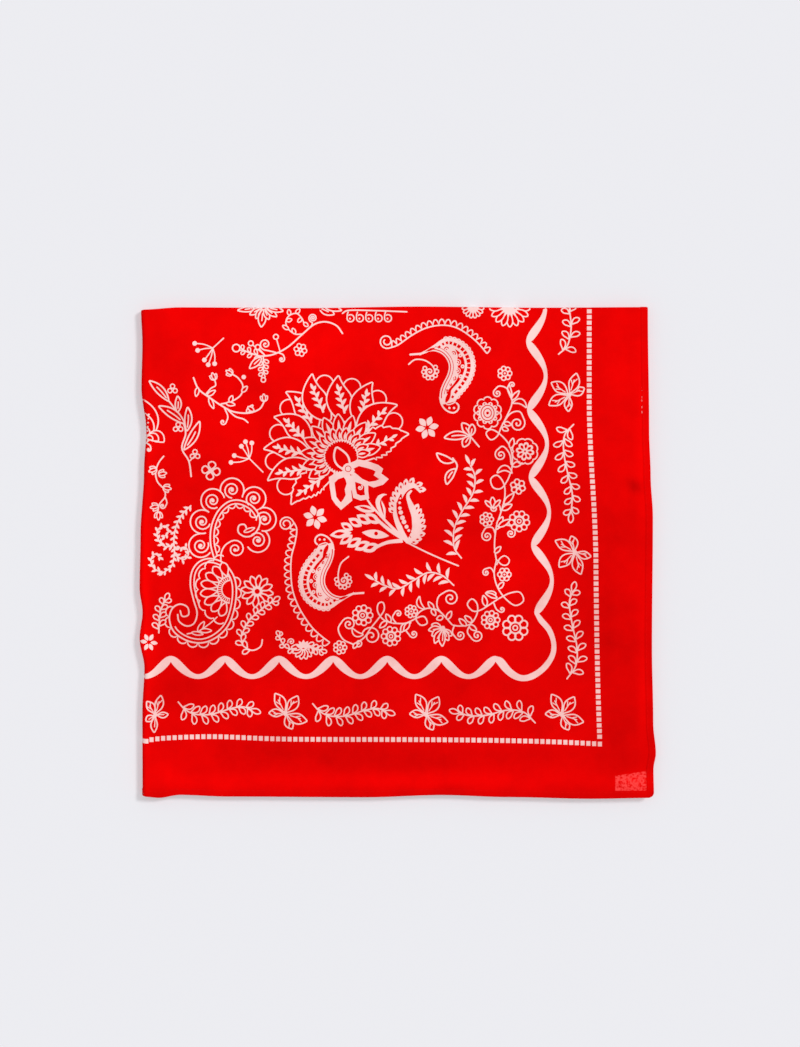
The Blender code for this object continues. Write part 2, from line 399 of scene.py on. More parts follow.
@dataclass
class Bloom:
    """A small flower head seen from the front."""

    centre: complex
    radius: float
    petals: int
    kind: Petals
    turn: float = 0.0

    def draw(self, pen: Pen) -> None:
        """Draw equal petals round the centre, then its rings."""
        kinds = {
            Petals.STAR: self._star,
            Petals.DAISY: self._daisy,
            Petals.ROUND: self._round,
            Petals.SCALLOP: self._scallop,
        }
        pen.disc(self.centre, self.radius * 0.9, ink=False)
        kinds[self.kind](pen)

    def _ways(self) -> list[complex]:
        """Directions of the petals."""
        return [turned(self.turn + 360 * number / self.petals) for number in range(self.petals)]

    def _star(self, pen: Pen) -> None:
        """Solid petals, fullest near their tips."""
        width = 2.3 * self.radius / self.petals * 1.35
        for way in self._ways():
            base = self.centre + way * self.radius * 0.16
            pen.leaf(base, self.centre + way * self.radius, width, Leaf.SOLID, 1.05)

    def _daisy(self, pen: Pen) -> None:
        """Pointed loops that start on a small ring."""
        width = min(4.3 / self.petals, 0.68) * self.radius
        line = 0.9 if self.radius > 4 else 0.75
        for way in self._ways():
            base = self.centre + way * self.radius * 0.22
            tip = self.centre + way * self.radius
            pen.leaf(base, tip, width, Leaf.LOOP, 1.1, line=line)
        pen.ring(self.centre, self.radius * 0.2, line)

    def _round(self, pen: Pen) -> None:
        """Round loops side by side on a ring, with a smaller ring inside."""
        hub = self.radius * 0.5
        petal = (self.radius + hub) / 2 * math.sin(math.pi / self.petals) * 1.02
        line = 1.0 if self.radius > 6 else 0.8
        for way in self._ways():
            at = self.centre + way * (self.radius - petal)
            pen.line(arc(at, petal, 0, 372, 0.55), line)
        pen.disc(self.centre, hub * 0.82, ink=False)
        pen.line(arc(self.centre, hub * 0.84, 0, 372, 0.6), line)
        if self.radius > 4.2:
            pen.ring(self.centre, hub * 0.36, line * 0.85)
        else:
            pen.disc(self.centre, hub * 0.3)

    def _scallop(self, pen: Pen) -> None:
        """A scalloped outline round a solid disc with a bare flower in it."""
        circle = arc(self.centre, self.radius * 0.88, 0, 360)
        pen.line(arches(circle, -self.radius * 0.13, math.tau * self.radius * 0.88 / self.petals), 0.85)
        for way in self._ways():
            pen.disc(self.centre + way * self.radius * 0.52, self.radius * 0.2)
        pen.disc(self.centre, self.radius * 0.56)
        for way in self._ways():
            base, tip = self.centre + way * self.radius * 0.2, self.centre + way * self.radius * 0.58
            pen.drop(base, tip, self.radius * 0.22)
        pen.disc(self.centre, self.radius * 0.22)
        pen.disc(self.centre, self.radius * 0.08, ink=False)


@dataclass
class Blossom:
    """A spray of pointed, veined petals from one point."""

    centre: complex
    turn: float
    size: float = 1.0
    ways: tuple[float, ...] = (-177, 65, 18, -117, -56)
    lengths: tuple[float, ...] = (9.0, 8.9, 12.3, 12.4, 11.8)
    widths: tuple[float, ...] = (4.1, 4.7, 5.5, 5.6, 5.6)

    def draw(self, pen: Pen) -> None:
        """Draw each petal as a pointed loop with a forked vein in it."""
        for way, length, width in zip(self.ways, self.lengths, self.widths):
            along = turned(way + self.turn)
            reach = length * self.size
            base = self.centre + along * 0.8
            tip = self.centre + along * reach
            pen.leaf(base, tip, width * self.size, Leaf.LOOP, 1.1, 0.04, 0.85, 1.0)
            pen.line(evened(self.centre + along * reach * np.array([0.2, 0.7])), 0.65)
            for side in (-1, 1) if width > 3.5 else ():
                fork = self.centre + along * reach * (0.5 + 0.06 * side)
                pen.line(evened(fork + along * turned(side * 30) * self.size * np.array([0, 3.1])), 0.6)
        pen.disc(self.centre, 1.1 * self.size)


@dataclass
class BerrySprig:
    """A bare stem that forks into five stalks with a berry on each."""

    foot: complex
    fork: complex
    side: int = 1
    fan: tuple[float, ...] = (57, 34, -12, -32, -54)
    reaches: tuple[float, ...] = (10.0, 8.2, 7.8, 9.2, 8.4)

    def draw(self, pen: Pen) -> None:
        """Draw the stem, then bowed stalks that end in solid berries."""
        way = (self.fork - self.foot) / abs(self.fork - self.foot)
        pen.line(joined(self.foot, self.fork), 0.8)
        for angle, reach in zip(self.fan, self.reaches):
            tip = self.fork + way * turned(angle * self.side) * reach
            middle = self.fork + way * turned(angle * self.side * 1.15) * reach * 0.5
            pen.line(bend([self.fork, middle, tip]), 0.75)
            pen.disc(tip, 1.25)


@dataclass
class Comb:
    """A curved line with a row of tall arches on it, which starts in a spiral."""

    base: Sequence[complex]
    side: int
    curl_turns: float
    pitch: float
    curl_radius: float = 3.9
    height: float = 3.2

    def draw(self, pen: Pen) -> None:
        """Draw the arches over the base line, then the line and the spiral at its start."""
        path = bend(self.base)
        pen.line(arches(path[2:], self.side * self.height, self.pitch, 0.55), 0.8)
        start = path[0]
        way = heading(path)[0]
        side = 1j if self.curl_turns > 0 else -1j
        centre = start - side * way * self.curl_radius
        first = math.degrees(np.angle(start - centre))
        curl = spiral(centre, self.curl_radius, first, self.curl_turns, 0.3)
        pen.line(np.concatenate([curl[::-1], path[1:]]))


@dataclass
class CommaPaisley:
    """A comma-shaped paisley: a long tail, a bumpy rim, a ladder, scales and a hooked foot."""

    tail: complex
    turn: float
    back: Sequence[complex] = (
        5.5 - 0.7j, 9.5 - 2.8j, 13.5 - 5.4j, 17.5 - 8.2j, 21.5 - 9j, 25.5 - 8j, 29 - 6j, 32 - 3j, 34 + 1.2j,
        34.7 + 5.8j, 34 + 10.4j, 32.2 + 14.6j, 29.8 + 18.2j, 26.8 + 21.6j, 24.6 + 25j,
    )
    belly: Sequence[complex] = (
        5.5 + 0.5j, 9.5 - 1.3j, 13.3 - 1.8j, 17.2 - 0.4j, 20 + 2.7j, 21.1 + 6.5j, 20.2 + 10.8j, 18.1 + 15j,
        16.6 + 19j, 16.2 + 23j, 17.4 + 26.8j,
    )

    def draw(self, pen: Pen) -> None:
        """Fill the body and leave its bands bare, then hook its foot round two dots."""
        turn = turned(self.turn)

        def at(place: complex | Array) -> complex | Array:
            """Carry a place from the paisley's own frame to the cloth."""
            return self.tail + turn * place

        back, belly = (at(bend(points, 0.2)) for points in (self.back, self.belly))

        def lane(path: Array, depth: float | Array, start: float, end: float) -> Array:
            """Give a line beside a path, at a depth, from one share of its points to another."""
            beside = path + 1j * heading(path) * depth
            return beside[int(start * len(path)) : int(end * len(path))]

        share = np.linspace(0, 1, 90)
        sides = [np.interp(share, evenly(path), path) for path in (back, belly)]
        pen.strip(*sides)
        pen.line(at(bend([0, 3 - 0.2j, 6.5 - 0.6j, 10 - 1.9j], 0.5)), 1.25)
        pen.drop(at(8.2 - 1.5j), at(14.0 - 3.7j), 1.3)
        pen.line(arches(lane(back, 0.3, 0.24, 0.98)[::3], -0.85, 2.4, 0.6), 0.75)
        # The ladder: square gaps between its rungs, largest in the middle.
        length = length_of(back)
        for number, middle in enumerate(np.linspace(10.6, length - 1.3, 18)):
            grow = math.sin(math.pi * (number + 0.5) / 18)
            half = (0.78 + 0.5 * grow) / length
            inside = 1.9 + 1.15 + 0.8 * grow
            place = middle / length
            gap = [lane(back, depth, place - half, place + half) for depth in (1.9, inside)]
            pen.strip(*gap, ink=False)
        # The hollow beside the ladder, with round scales along it and a bead between each two.
        rail, across = (lane(back, depth, 0.385, 0.985) for depth in (5.05, 6.05))
        marks = (0, 0.12, 0.25, 0.42, 0.56, 0.68, 0.88, 1)
        deep = np.interp(evenly(rail), marks, (0.1, 1.8, 3.3, 4.0, 3.4, 1.7, 1.2, 1.5))
        pen.strip(rail[::3], (rail + (across - rail) * deep)[::3], ink=False)
        for place, way, radius in (
            (19.9 - 3.0j, -100, 1.7),
            (23.6 - 0.6j, -50, 1.7),
            (25.9 + 4.1j, -18, 1.7),
            (25.7 + 8.6j, 6, 1.7),
            (23.9 + 12.6j, 25, 1.6),
            (21.9 + 16.0j, 32, 1.1),
            (20.0 + 19.0j, 38, 0.9),
        ):
            centre, facing = at(place), self.turn + way
            pen.disc(centre, radius)
            pen.line(arc(centre, radius * 0.6, facing - 95, facing + 95, 0.3), 0.55, ink=False)
            pen.disc(centre - turned(facing) * 0.2, 0.32, ink=False)
        for place in (27.2 + 0.4j, 28.5 + 6.3j, 27.4 + 11.6j):
            pen.disc(at(place), 1.05)
            pen.disc(at(place), 0.32, ink=False)
        pen.drop(at(22.4 + 18.8j), at(19.2 + 26.2j), 2.2)
        # Thin bare lines beside the belly.
        pen.line(lane(belly, -0.95, 0.14, 0.93)[::3], 0.52, ink=False)
        pen.line(lane(belly, -2.45, 0.2, 0.86)[::3], 0.3, ink=False)
        # The foot hooks round two dots.
        hook = [16.3 + 22.5j, 17.2 + 26.6j, 19.8 + 29.8j, 23.4 + 31.1j, 25.9 + 29.6j, 26.3 + 27.2j,
                24.9 + 25.6j]
        pen.line(at(bend(hook, 0.5)), 1.05)
        for dot in (21.4 + 28.5j, 23.9 + 28.5j):
            pen.disc(at(dot), 0.62)
        mouth = [18.6 + 25.2j, 20.4 + 26.7j, 22.6 + 26.3j, 24.8 + 25.2j]
        pen.line(at(bend(mouth, 0.5)), 0.7)


@dataclass
class DottedCurl:
    """A thin stem that curls in on itself, with a row of round loops outside the curl."""

    stem: Sequence[complex]
    turns: float
    radius: float = 2.7

    def draw(self, pen: Pen) -> None:
        """Draw the loops round the spiral, then the stem that runs into it."""
        path = bend(self.stem)
        sign = 1 if self.turns > 0 else -1
        centre = path[-1] + sign * 1j * heading(path)[-1] * self.radius
        start = math.degrees(np.angle(path[-1] - centre))
        for number in range(8):
            share = 1 - 0.035 * number
            at = centre + turned(start + sign * (36 * number - 14)) * (self.radius * share + 1.15)
            pen.ring(at, 1.0, 0.75)
        pen.tendril(self.stem, self.turns, self.radius)


@dataclass
class Feather:
    """A petal's vein: a short stem with solid leaflets on alternate sides."""

    foot: complex
    tip: complex
    leaflet: float = 4.8

    def draw(self, pen: Pen) -> None:
        """Draw the stem and its leaflets, which shorten towards the tip."""
        way = (self.tip - self.foot) / abs(self.tip - self.foot)
        length = abs(self.tip - self.foot)
        pen.swell(self.foot + way * np.linspace(0, length, 8), np.linspace(0.55, 0.3, 8))
        for number in range(7):
            share = 0.02 + 0.125 * number
            side = -1 if number % 2 else 1
            at = self.foot + way * length * share
            tip = at + way * turned(side * 42) * self.leaflet * (1.05 - 0.45 * share)
            pen.leaf(at, tip, 1.6, Leaf.SOLID, 1.0, -0.12 * side)
        pen.leaf(self.tip - way * 2.6, self.tip + way * 1.2, 1.6, Leaf.SOLID)


class Petal(NamedTuple):
    """A petal of the big flower: its ends, its width, the lean of its tip and its edge."""

    foot: complex
    tip: complex
    width: float
    lean: float
    toothed: bool = False


PETALS = (
    Petal(92 + 67j, 78.5 + 44j, 12.5, -0.07),
    Petal(101 + 60j, 89.5 + 36j, 13.0, 0.07),
    Petal(111 + 61j, 104 + 36.5j, 13.5, 0.05),
    Petal(118 + 64j, 122 + 39.5j, 12.5, 0.06),
    Petal(117 + 72j, 135 + 50.5j, 13.0, 0.08),
    Petal(113 + 82j, 142 + 66j, 14.0, 0.05, True),
    Petal(89 + 75j, 72 + 57j, 12.0, -0.08),
    Petal(91 + 81j, 65.5 + 74j, 11.5, -0.06),
    Petal(94 + 87j, 67 + 90.5j, 11.5, -0.07),
    Petal(103 + 88j, 79 + 104j, 12.0, -0.05, True),
)


@dataclass
class Lotus:
    """The big flower: feathered petals in a broad fan, lobes behind them and a calyx."""

    centre: complex = 106.5 + 79.5j
    petals: tuple[Petal, ...] = PETALS

    def draw(self, pen: Pen) -> None:
        """Draw from the back: lobes, outer petals, inner petals, the disc and the calyx."""
        around = sorted(self.petals, key=lambda petal: np.angle((petal.tip - self.centre) * turned(110)))
        for first, second in zip(around[:-1], around[1:]):
            between = (first.tip + second.tip) / 2
            way = (between - self.centre) / abs(between - self.centre)
            degrees = math.degrees(np.angle(way))
            if abs(degrees + 119) > 8:
                pen.line(arc(between - way * 4.6, 4.7, degrees - 115, degrees + 115), 0.85)
        for petal in self.petals:
            self._petal(pen, petal)
        self._ring_petals(pen)
        self._heart(pen)
        self._calyx(pen)

    def _petal(self, pen: Pen, petal: Petal) -> None:
        """One petal: its sides swell and then draw in to a leaning tip, with a feather inside."""
        s = np.linspace(0, 1, 46)
        ease = np.clip((s - 0.55) / 0.45, 0, 1)
        half = petal.width / 2 * np.sin(np.pi * s**0.95) ** 0.7 * (1 - 0.5 * ease**1.5)
        lean = 1j * petal.lean * (s**6 - 1.6 * np.sin(np.pi * s))
        spine = petal.foot + (petal.tip - petal.foot) * (s + lean)
        side = 1j * heading(spine) * half
        tooth = 1 + (0.26 * ((s * 9) % 1) * (s > 0.3) * (s < 0.93) if petal.toothed else 0)
        upper, lower = spine + side * tooth, spine - side * tooth
        pen.strip(upper, lower, ink=False)
        pen.line(upper, 0.9)
        pen.line(lower, 0.9)
        Feather(spine[9], spine[36]).draw(pen)

    def _ring_petals(self, pen: Pen) -> None:
        """Two rings of small petals round the disc: long ones with a solid heart, and short ones."""
        for angle in np.linspace(146, 346, 11):
            way = turned(angle)
            reach = 21.5 + 1.5 * math.sin(math.radians(angle - 180))
            pen.leaf(self.centre + way * 9, self.centre + way * reach, 6.2, Leaf.LOOP, 1.0)
            pen.leaf(self.centre + way * 11, self.centre + way * (reach - 3.2), 1.7, Leaf.SOLID, 0.9)
        for angle in np.linspace(138, 352, 16):
            way = turned(angle)
            pen.leaf(self.centre + way * 8, self.centre + way * 15.8, 4.2, Leaf.LOOP, 0.95)
            pen.leaf(self.centre + way * 9, self.centre + way * 13.4, 1.2, Leaf.SOLID, 1.0)

    def _heart(self, pen: Pen) -> None:
        """The toothed disc with a drop-shaped leaf in it."""
        pen.disc(self.centre, 9.3)
        angle = np.radians(np.arange(0, 181, 5))
        edge = np.where(np.arange(37) % 2 == 0, 8.7, 7.7) * np.exp(1j * angle)
        pen.strip(self.centre + np.conj(edge), self.centre + edge, ink=False)
        pen.leaf(self.centre + 4.5 + 7j, self.centre - 2.5 - 5.2j, 7.4, Leaf.LOOP, 0.95, -0.06, 1.25)

    def _calyx(self, pen: Pen) -> None:
        """Three thick angular lobes, and the ringed eye that they hang from."""
        pen.band(
            (111 + 83j, 116 + 81j, 121 + 82j, 126.5 + 84j, 129 + 86j, 128 + 88.5j, 132 + 91.5j, 129 + 94.5j,
             124 + 96j, 119 + 94j, 115 + 91j, 111 + 88j),
            (113 + 86j, 116 + 84.5j, 120 + 85.5j, 123.5 + 86.5j, 125 + 87.5j, 124 + 89.5j, 127 + 91.5j,
             125 + 92.5j, 121.5 + 93j, 118 + 91.5j, 115 + 89j, 113 + 87.5j),
        )
        pen.band(
            (109 + 87j, 104 + 88j, 100 + 90.5j, 100.5 + 96j, 101.5 + 102j, 103.5 + 105j, 106.5 + 108j,
             109.5 + 105.5j, 112.5 + 103j, 112 + 98j, 113 + 94j, 112 + 90j),
            (108 + 90.5j, 105 + 91.5j, 103 + 93.5j, 103.5 + 97.5j, 104 + 101j, 105.5 + 103j, 106.5 + 104j,
             108 + 102j, 109 + 100j, 108.5 + 97j, 109.5 + 94j, 109 + 92j),
        )
        pen.band(
            (112 + 89j, 117 + 91.5j, 121 + 94j, 121 + 98j, 121.5 + 102j, 117 + 103j, 113 + 101.5j,
             112 + 96j),
            (114 + 93j, 117 + 94j, 119 + 95.5j, 119 + 98j, 119.3 + 100j, 117 + 100.3j, 115 + 99.5j,
             114.3 + 96.5j),
        )
        pen.curl(116.6 + 96j, 1.5, -60, 1.1, 0.8)
        for angle in range(20, 181, 32):
            pen.disc(110.3 + 86j + turned(angle) * 2.9, 0.8)
        pen.disc(110.3 + 86j, 3.0)
        pen.disc(110.3 + 86j, 1.75, ink=False)
        pen.disc(110.3 + 86j, 1.35)


@dataclass
class Print:
    """The whole printed quarter, placed motif by motif from its folds to its border."""

    pen: Pen = field(default_factory=Pen)

    def draw(self) -> Pen:
        """Draw every motif and return the pen that holds them."""
        self.border()
        self.top_left()
        self.left_side()
        Lotus().draw(self.pen)
        self.buds()
        self.paisleys()
        self.sprays()
        self.vine_down()
        self.vine_across()
        return self.pen

    def border(self) -> None:
        """Draw the border along the two free edges."""
        pen = self.pen
        # The squares: the row along the bottom sags, and the row along the right leans.
        long, short = 1.24, 1.08
        for number in range(79):
            at = 244.8 - 3.07 * number
            sag = 2.5 * (at / 245) ** 6 - 1.5 * math.exp(-(((at - 36) / 28) ** 2))
            sag = sag + 0.9 * math.exp(-((at / 7) ** 2))
            self.square(complex(at, 230.6 + sag), short, long)
            row = 232.2 - 3.03 * number
            ease = min(max((row - 50) / 85, 0), 1)
            lean = 3.3 * ease * ease * (3 - 2 * ease) + 2.4 * (row / 232) ** 4
            if number:
                self.square(complex(239.1 + lean, row), long, short)
        # Near the fold they run together, and along the right hem the thread shows.
        bar = np.arange(-1.5, 4.1, 0.4) + 231.5j
        pen.strip(bar - 1.2j, bar + 1.2j)
        for row in (35.5, 37.2, 39.6, 42.4, 44.0, 47.3, 49.1, 52.6, 55.2):
            pen.line(joined(complex(267.2, row), complex(267.3, row + 1.1), step=0.5), 0.22)
        self.ribbon()
        cut_ways, cut_lengths = (-3, 146, 93, -74, -122), (7, 6, 9.5, 11, 8.6)
        Blossom(7.3 + 217.5j, 0, 1.0, cut_ways, cut_lengths, (3.0, 3.4, 3.4, 4.4, 4.2)).draw(pen)
        for centre in (76.8 + 217j, 152 + 217.5j, 224.5 + 217.5j):
            Blossom(centre, 0).draw(pen)
        Blossom(228.5 + 46.5j, -90).draw(pen)
        Blossom(231.5 + 130.5j, 192).draw(pen)
        style = {"leaf": 6.0, "width": 2.7, "spread": 56, "stagger": 0.1}
        for shift in (0, 71.8 + 0.9j):
            stem = [19.3 + 210.3j, 23 + 214.4j, 28 + 217j, 35 + 217.4j, 41 + 216.2j, 48 + 214j, 54 + 213.2j]
            Sprig([point + shift for point in (*stem, 58 + 214.4j)], gap=5.1, bare=4.5, **style).draw(pen)
        stems = (
            (5.1, [210.5 + 222j, 204 + 216j, 195 + 215j, 185 + 217.5j, 176 + 218j, 170 + 216.5j]),
            (6.3, [231 + 62j, 226 + 68j, 225.5 + 77j, 227.5 + 88j, 230 + 99j, 229.5 + 109j]),
            (6.3, [227 + 198.5j, 232 + 191j, 232.5 + 181j, 230 + 169j, 228.5 + 158j, 230 + 152j]),
            (6.3, [222.5 + 25j, 227.5 + 20j, 229.4 + 11j, 228.6 + 2j, 227 - 6j]),
        )
        for gap, stem in stems:
            Sprig(stem, gap=gap, **style).draw(pen)

    def square(self, centre: complex, half_width: float, half_height: float) -> None:
        """Fill one small square."""
        x = np.array([-half_width, half_width])
        self.pen.strip(centre + x - 1j * half_height, centre + x + 1j * half_height)

    def ribbon(self) -> None:
        """Draw the twisted ribbon: round on its inner side, and notched on its outer side."""
        bottom = [15.6 + 28.9 * number + 186j for number in range(-1, 7)]
        right = [complex(205.4 + 0.3 * n + 0.2 * n * n, 18.1 + 36.3 * n) for n in range(-1, 5)]
        t = np.linspace(0, 1, 41)
        for turns, out, deep, cusp in ((bottom, 1j, 9.8, 3.1), (right, 1, 9.2, 2.6)):
            for start, end in zip(turns[:-1], turns[1:]):
                middle = start + (end - start) * t
                inner = middle + out * deep * (0.5 - 0.5 * np.cos(2 * np.pi * t))
                outer = middle + out * (cusp + (deep - 0.6) * np.sin(np.pi * t) ** 0.8)
                self.pen.strip(inner, outer)
        inner = [bottom[-1], 193 + 187.5j, 198 + 193.3j, 203.5 + 196.3j, 209.5 + 194.5j, 214.5 + 190.5j]
        outer = [bottom[-1] + 3j, 193.5 + 194.5j, 198.5 + 198.2j, 204 + 199.5j, 210 + 198j, 216.5 + 193j]
        inner = bend([*inner, 218.2 + 185j, 218.8 + 179j, 216.5 + 173j, 212.3 + 168j, right[-1]], 0.7)
        outer = bend([*outer, 220.8 + 186j, 221.4 + 179j, 219 + 171.5j, 214.8 + 166.3j, right[-1] + 2.5],
                     0.7)
        outer = np.interp(evenly(inner), evenly(outer), outer)
        self.pen.strip(inner, outer)

    def top_left(self) -> None:
        """Draw the berry sprigs, the long spray, the budded branch and what the top fold cuts."""
        pen = self.pen
        BerrySprig(44 + 16j, 38 + 21.5j, 1).draw(pen)
        BerrySprig(65 + 88j, 57.5 + 80.5j, -1).draw(pen)
        # The long spray.
        stem = [107.5 + 14j, 104 + 9.5j, 98 + 7.5j, 92 + 9j, 86 + 14j, 78 + 21j, 70 + 25j, 62 + 26j]
        pen.stem(stem, 1.0)
        Sprig([64 + 26j, 59 + 24.5j, 54 + 22.5j], 3.4, 1.7, 3.2, spread=55, bare=1.5, line=0.75).draw(pen)
        pen.ring(50.5 + 21.5j, 2.0, 0.9)
        Sprig([65 + 26j, 65 + 31j, 65 + 35j], 3.2, 1.8, 3.0, spread=60, bare=2.0, line=0.75).draw(pen)
        pen.ring(65 + 38.5j, 1.2, 0.8)
        pen.leaf(64 + 26.5j, 57.5 + 32.5j, 3.6, Leaf.VEINED, line=0.85)
        for tip in (58.3 + 19j, 62 + 21j, 71.7 + 15.5j):
            pen.line(joined(66 + 25.5j if tip.real < 70 else 74 + 23.5j, tip), 0.75)
            pen.ring(tip, 1.3, 0.8)
        pen.tendril([72 + 24j, 69 + 23.2j, 65.5 + 22.5j], 1.5, 3.1)
        pen.tendril([73 + 24j, 75.5 + 25j, 76.3 + 27j], 1.2, 1.6)
        pen.curl(91.5 + 5.5j, 2.4, 90, 2.2, 0.8)
        pen.line(joined(91.3 + 8j, 90.5 + 10.5j), 0.8)
        Bloom(84.8 + 22.5j, 3.6, 6, Petals.DAISY, 12).draw(pen)
        loop = [86 + 14j, 82 + 14j, 78.5 + 11.5j, 77 + 8j, 78.5 + 4.5j, 82.5 + 3j, 85.5 + 5.5j, 87 + 9j]
        pen.stem(loop, 0.8)
        for base, tip in (
            (82 + 14j, 80.5 + 10.8j), (78.5 + 11.5j, 75.2 + 9.4j), (77.3 + 7j, 80.4 + 6.2j),
            (79 + 4j, 78.5 + 0.8j), (82.5 + 3j, 84.5 + 0.6j), (85.5 + 5.5j, 83.4 + 7.8j),
            (86.6 + 8j, 89 + 10j),
        ):
            pen.leaf(base, tip, 1.9, line=0.75)
        # The budded branch.
        stem = [27.5 + 37j, 30.5 + 43.5j, 37 + 48.5j, 43 + 52.5j, 49 + 55.5j, 57 + 56.2j, 63 + 54j,
                65.5 + 50j]
        pen.stem(stem, 1.0)
        pen.stem([42 + 51.5j, 48 + 50j, 53 + 46.5j, 54 + 41.5j, 51.5 + 37.5j, 48.5 + 35.5j], 0.9)
        pen.stem([34 + 46.5j, 37 + 43j, 39.5 + 41.5j, 39 + 38.5j], 0.85)
        for base, tip in (
            (30 + 42.5j, 29 + 47.5j), (36 + 48j, 38.5 + 54j), (35 + 47j, 39.5 + 44j),
            (45 + 51j, 50 + 51.8j), (47 + 50.5j, 48.5 + 46.8j), (53.5 + 45j, 56.5 + 41.8j),
            (56 + 56j, 59.5 + 51.8j), (60 + 55.2j, 56.5 + 52.8j),
        ):
            pen.leaf(base, tip, 2.1, line=0.8)
        for base, turn in ((65.5 + 50j, -95), (48.5 + 35.5j, -150), (39 + 38.5j, -110)):
            self.tulip(base, turn, 4.2)
        pen.disc(54.5 + 37j, 1.2)
        pen.tendril([44 + 53j, 46 + 58j, 45 + 61.5j], 1.0, 1.7)
        pen.stem([46 + 54.5j, 50 + 58j, 54.5 + 59.5j, 57 + 61.5j], 0.9)
        # What the top fold cuts.
        middle = 65 - 0.5j
        for angle, reach, wide in (
            (172, 14, 3.0),
            (150, 8.5, 2.8),
            (122, 7.5, 3.0),
            (96, 11.0, 4.2),
            (66, 7.5, 3.0),
            (36, 9, 3.0),
            (12, 11, 3.0),
        ):
            way = turned(angle)
            pen.leaf(middle + way * 1.2, middle + way * reach, wide, Leaf.VEINED, 1.0, line=0.85)
        pen.stem([107 + 3.2j, 111 + 1.4j, 126 + 1.6j, 142 + 2.2j], 0.9)
        for number in range(5):
            at = 111.6 + 5.0 * number + 5.6j
            pen.line(np.append(bend([at - 1.2 - 3.6j, at - 2 - 1.2j])[:-1], arc(at, 1.9, 190, -130)), 0.8)
            pen.disc(at - 0.3 + 0.2j, 0.5)
        pen.leaf(95 + 0j, 103 + 3.6j, 4.2, Leaf.VEINED, line=0.85)
        pen.leaf(97 - 1j, 107 + 1.5j, 3.0, Leaf.LOOP, line=0.85)
        for centre, hub, radius, count in ((177 - 0.3j, 2.7, 6.0, 8), (196.7 - 0.6j, 4.2, 11.0, 9)):
            for angle in np.linspace(6, 174, count):
                base = centre + turned(angle) * hub * 0.8
                width = radius * 2.5 / count
                pen.leaf(base, centre + turned(angle) * radius, width, Leaf.LOOP, 1.3, line=0.8, fill=0.7)
            pen.disc(centre, hub)

    def tulip(self, base: complex, turn: float, size: float) -> None:
        """Draw a bud with three pointed petals."""
        for angle, share in ((-32, 0.85), (32, 0.85), (0, 1.0)):
            self.pen.leaf(base, base + turned(turn + angle) * size * share, size * 0.42, line=0.75)

    def left_side(self) -> None:
        """Draw the branches and vines along the left fold, and the two big figures near it."""
        pen = self.pen
        # The long-leaf branch with its berries.
        stem = [26.5 + 90.5j, 25.2 + 82j, 21.5 + 75j, 23.5 + 67j, 21.5 + 60j, 17 + 53j, 13.5 + 48.5j]
        pen.stem(stem, 1.0)
        leaves = (
            (14.5 + 50j, 4 + 39j, 4.2), (23 + 62j, 9 + 52.5j, 4.6), (19 + 56j, 19.2 + 47j, 3.2),
            (24 + 66j, 24.5 + 53j, 3.8), (22.5 + 76j, 31 + 60.5j, 4.4),
        )
        for base, tip, width in leaves:
            pen.leaf(base, tip, width, Leaf.VEINED, 1.0, 0.05, 0.95)
        for at in (16.5 + 43.5j, 19.5 + 64j, 28.5 + 78.5j):
            for angle in (-90, 30, 150):
                pen.ring(at + turned(angle) * 1.6, 1.15, 0.75)
        pen.line(joined(25.5 + 82j, 28 + 79.5j), 0.8)
        # The paisley and the leaf that the fold cuts.
        for share in (1.0, 0.72, 0.45):
            pen.leaf(1.5 + 73j, 0.5 + 73j - 24j * share, 13 * share, Leaf.LOOP, 1.1, 0.06, 0.9)
        for number in range(6):
            pen.disc(complex(3.9 - 0.2 * number, 57 + 2.2 * number), 0.45)
        for share in (1.0, 0.7, 0.4):
            pen.leaf(2 + 70j, 2 + 70j + (10 + 1.8j) * share, 6.0 * share, Leaf.LOOP, 1.3, -0.25, 0.8)
        pen.tendril([2 + 72j, 4.5 + 73.5j, 5 + 75.5j], 1.0, 1.2)
        # The small flowered vine under them.
        stem = [12 + 79j, 9 + 83j, 7.5 + 88j, 8.5 + 93j, 12 + 97j, 12.5 + 101j, 9.5 + 105j, 8.5 + 110j]
        pen.stem(stem, 0.9)
        buds = ((8 + 86j, 160), (9 + 89j, -10), (11.5 + 96j, 10), (9 + 106j, 170), (9 + 109j, 90))
        for base, turn in buds:
            self.tulip(base, turn, 4.6)
        pen.tendril([12.5 + 101j, 13.5 + 104j, 12.5 + 106.5j], 1.2, 1.5)
        middle = 37 + 87j
        for number in range(4):
            way = turned(90 * number - 80)
            pen.leaf(middle + way * 0.8, middle + way * 5.0, 3.9, Leaf.LOOP, 1.25, line=0.95, fill=0.65)
        pen.disc(middle, 1.0)
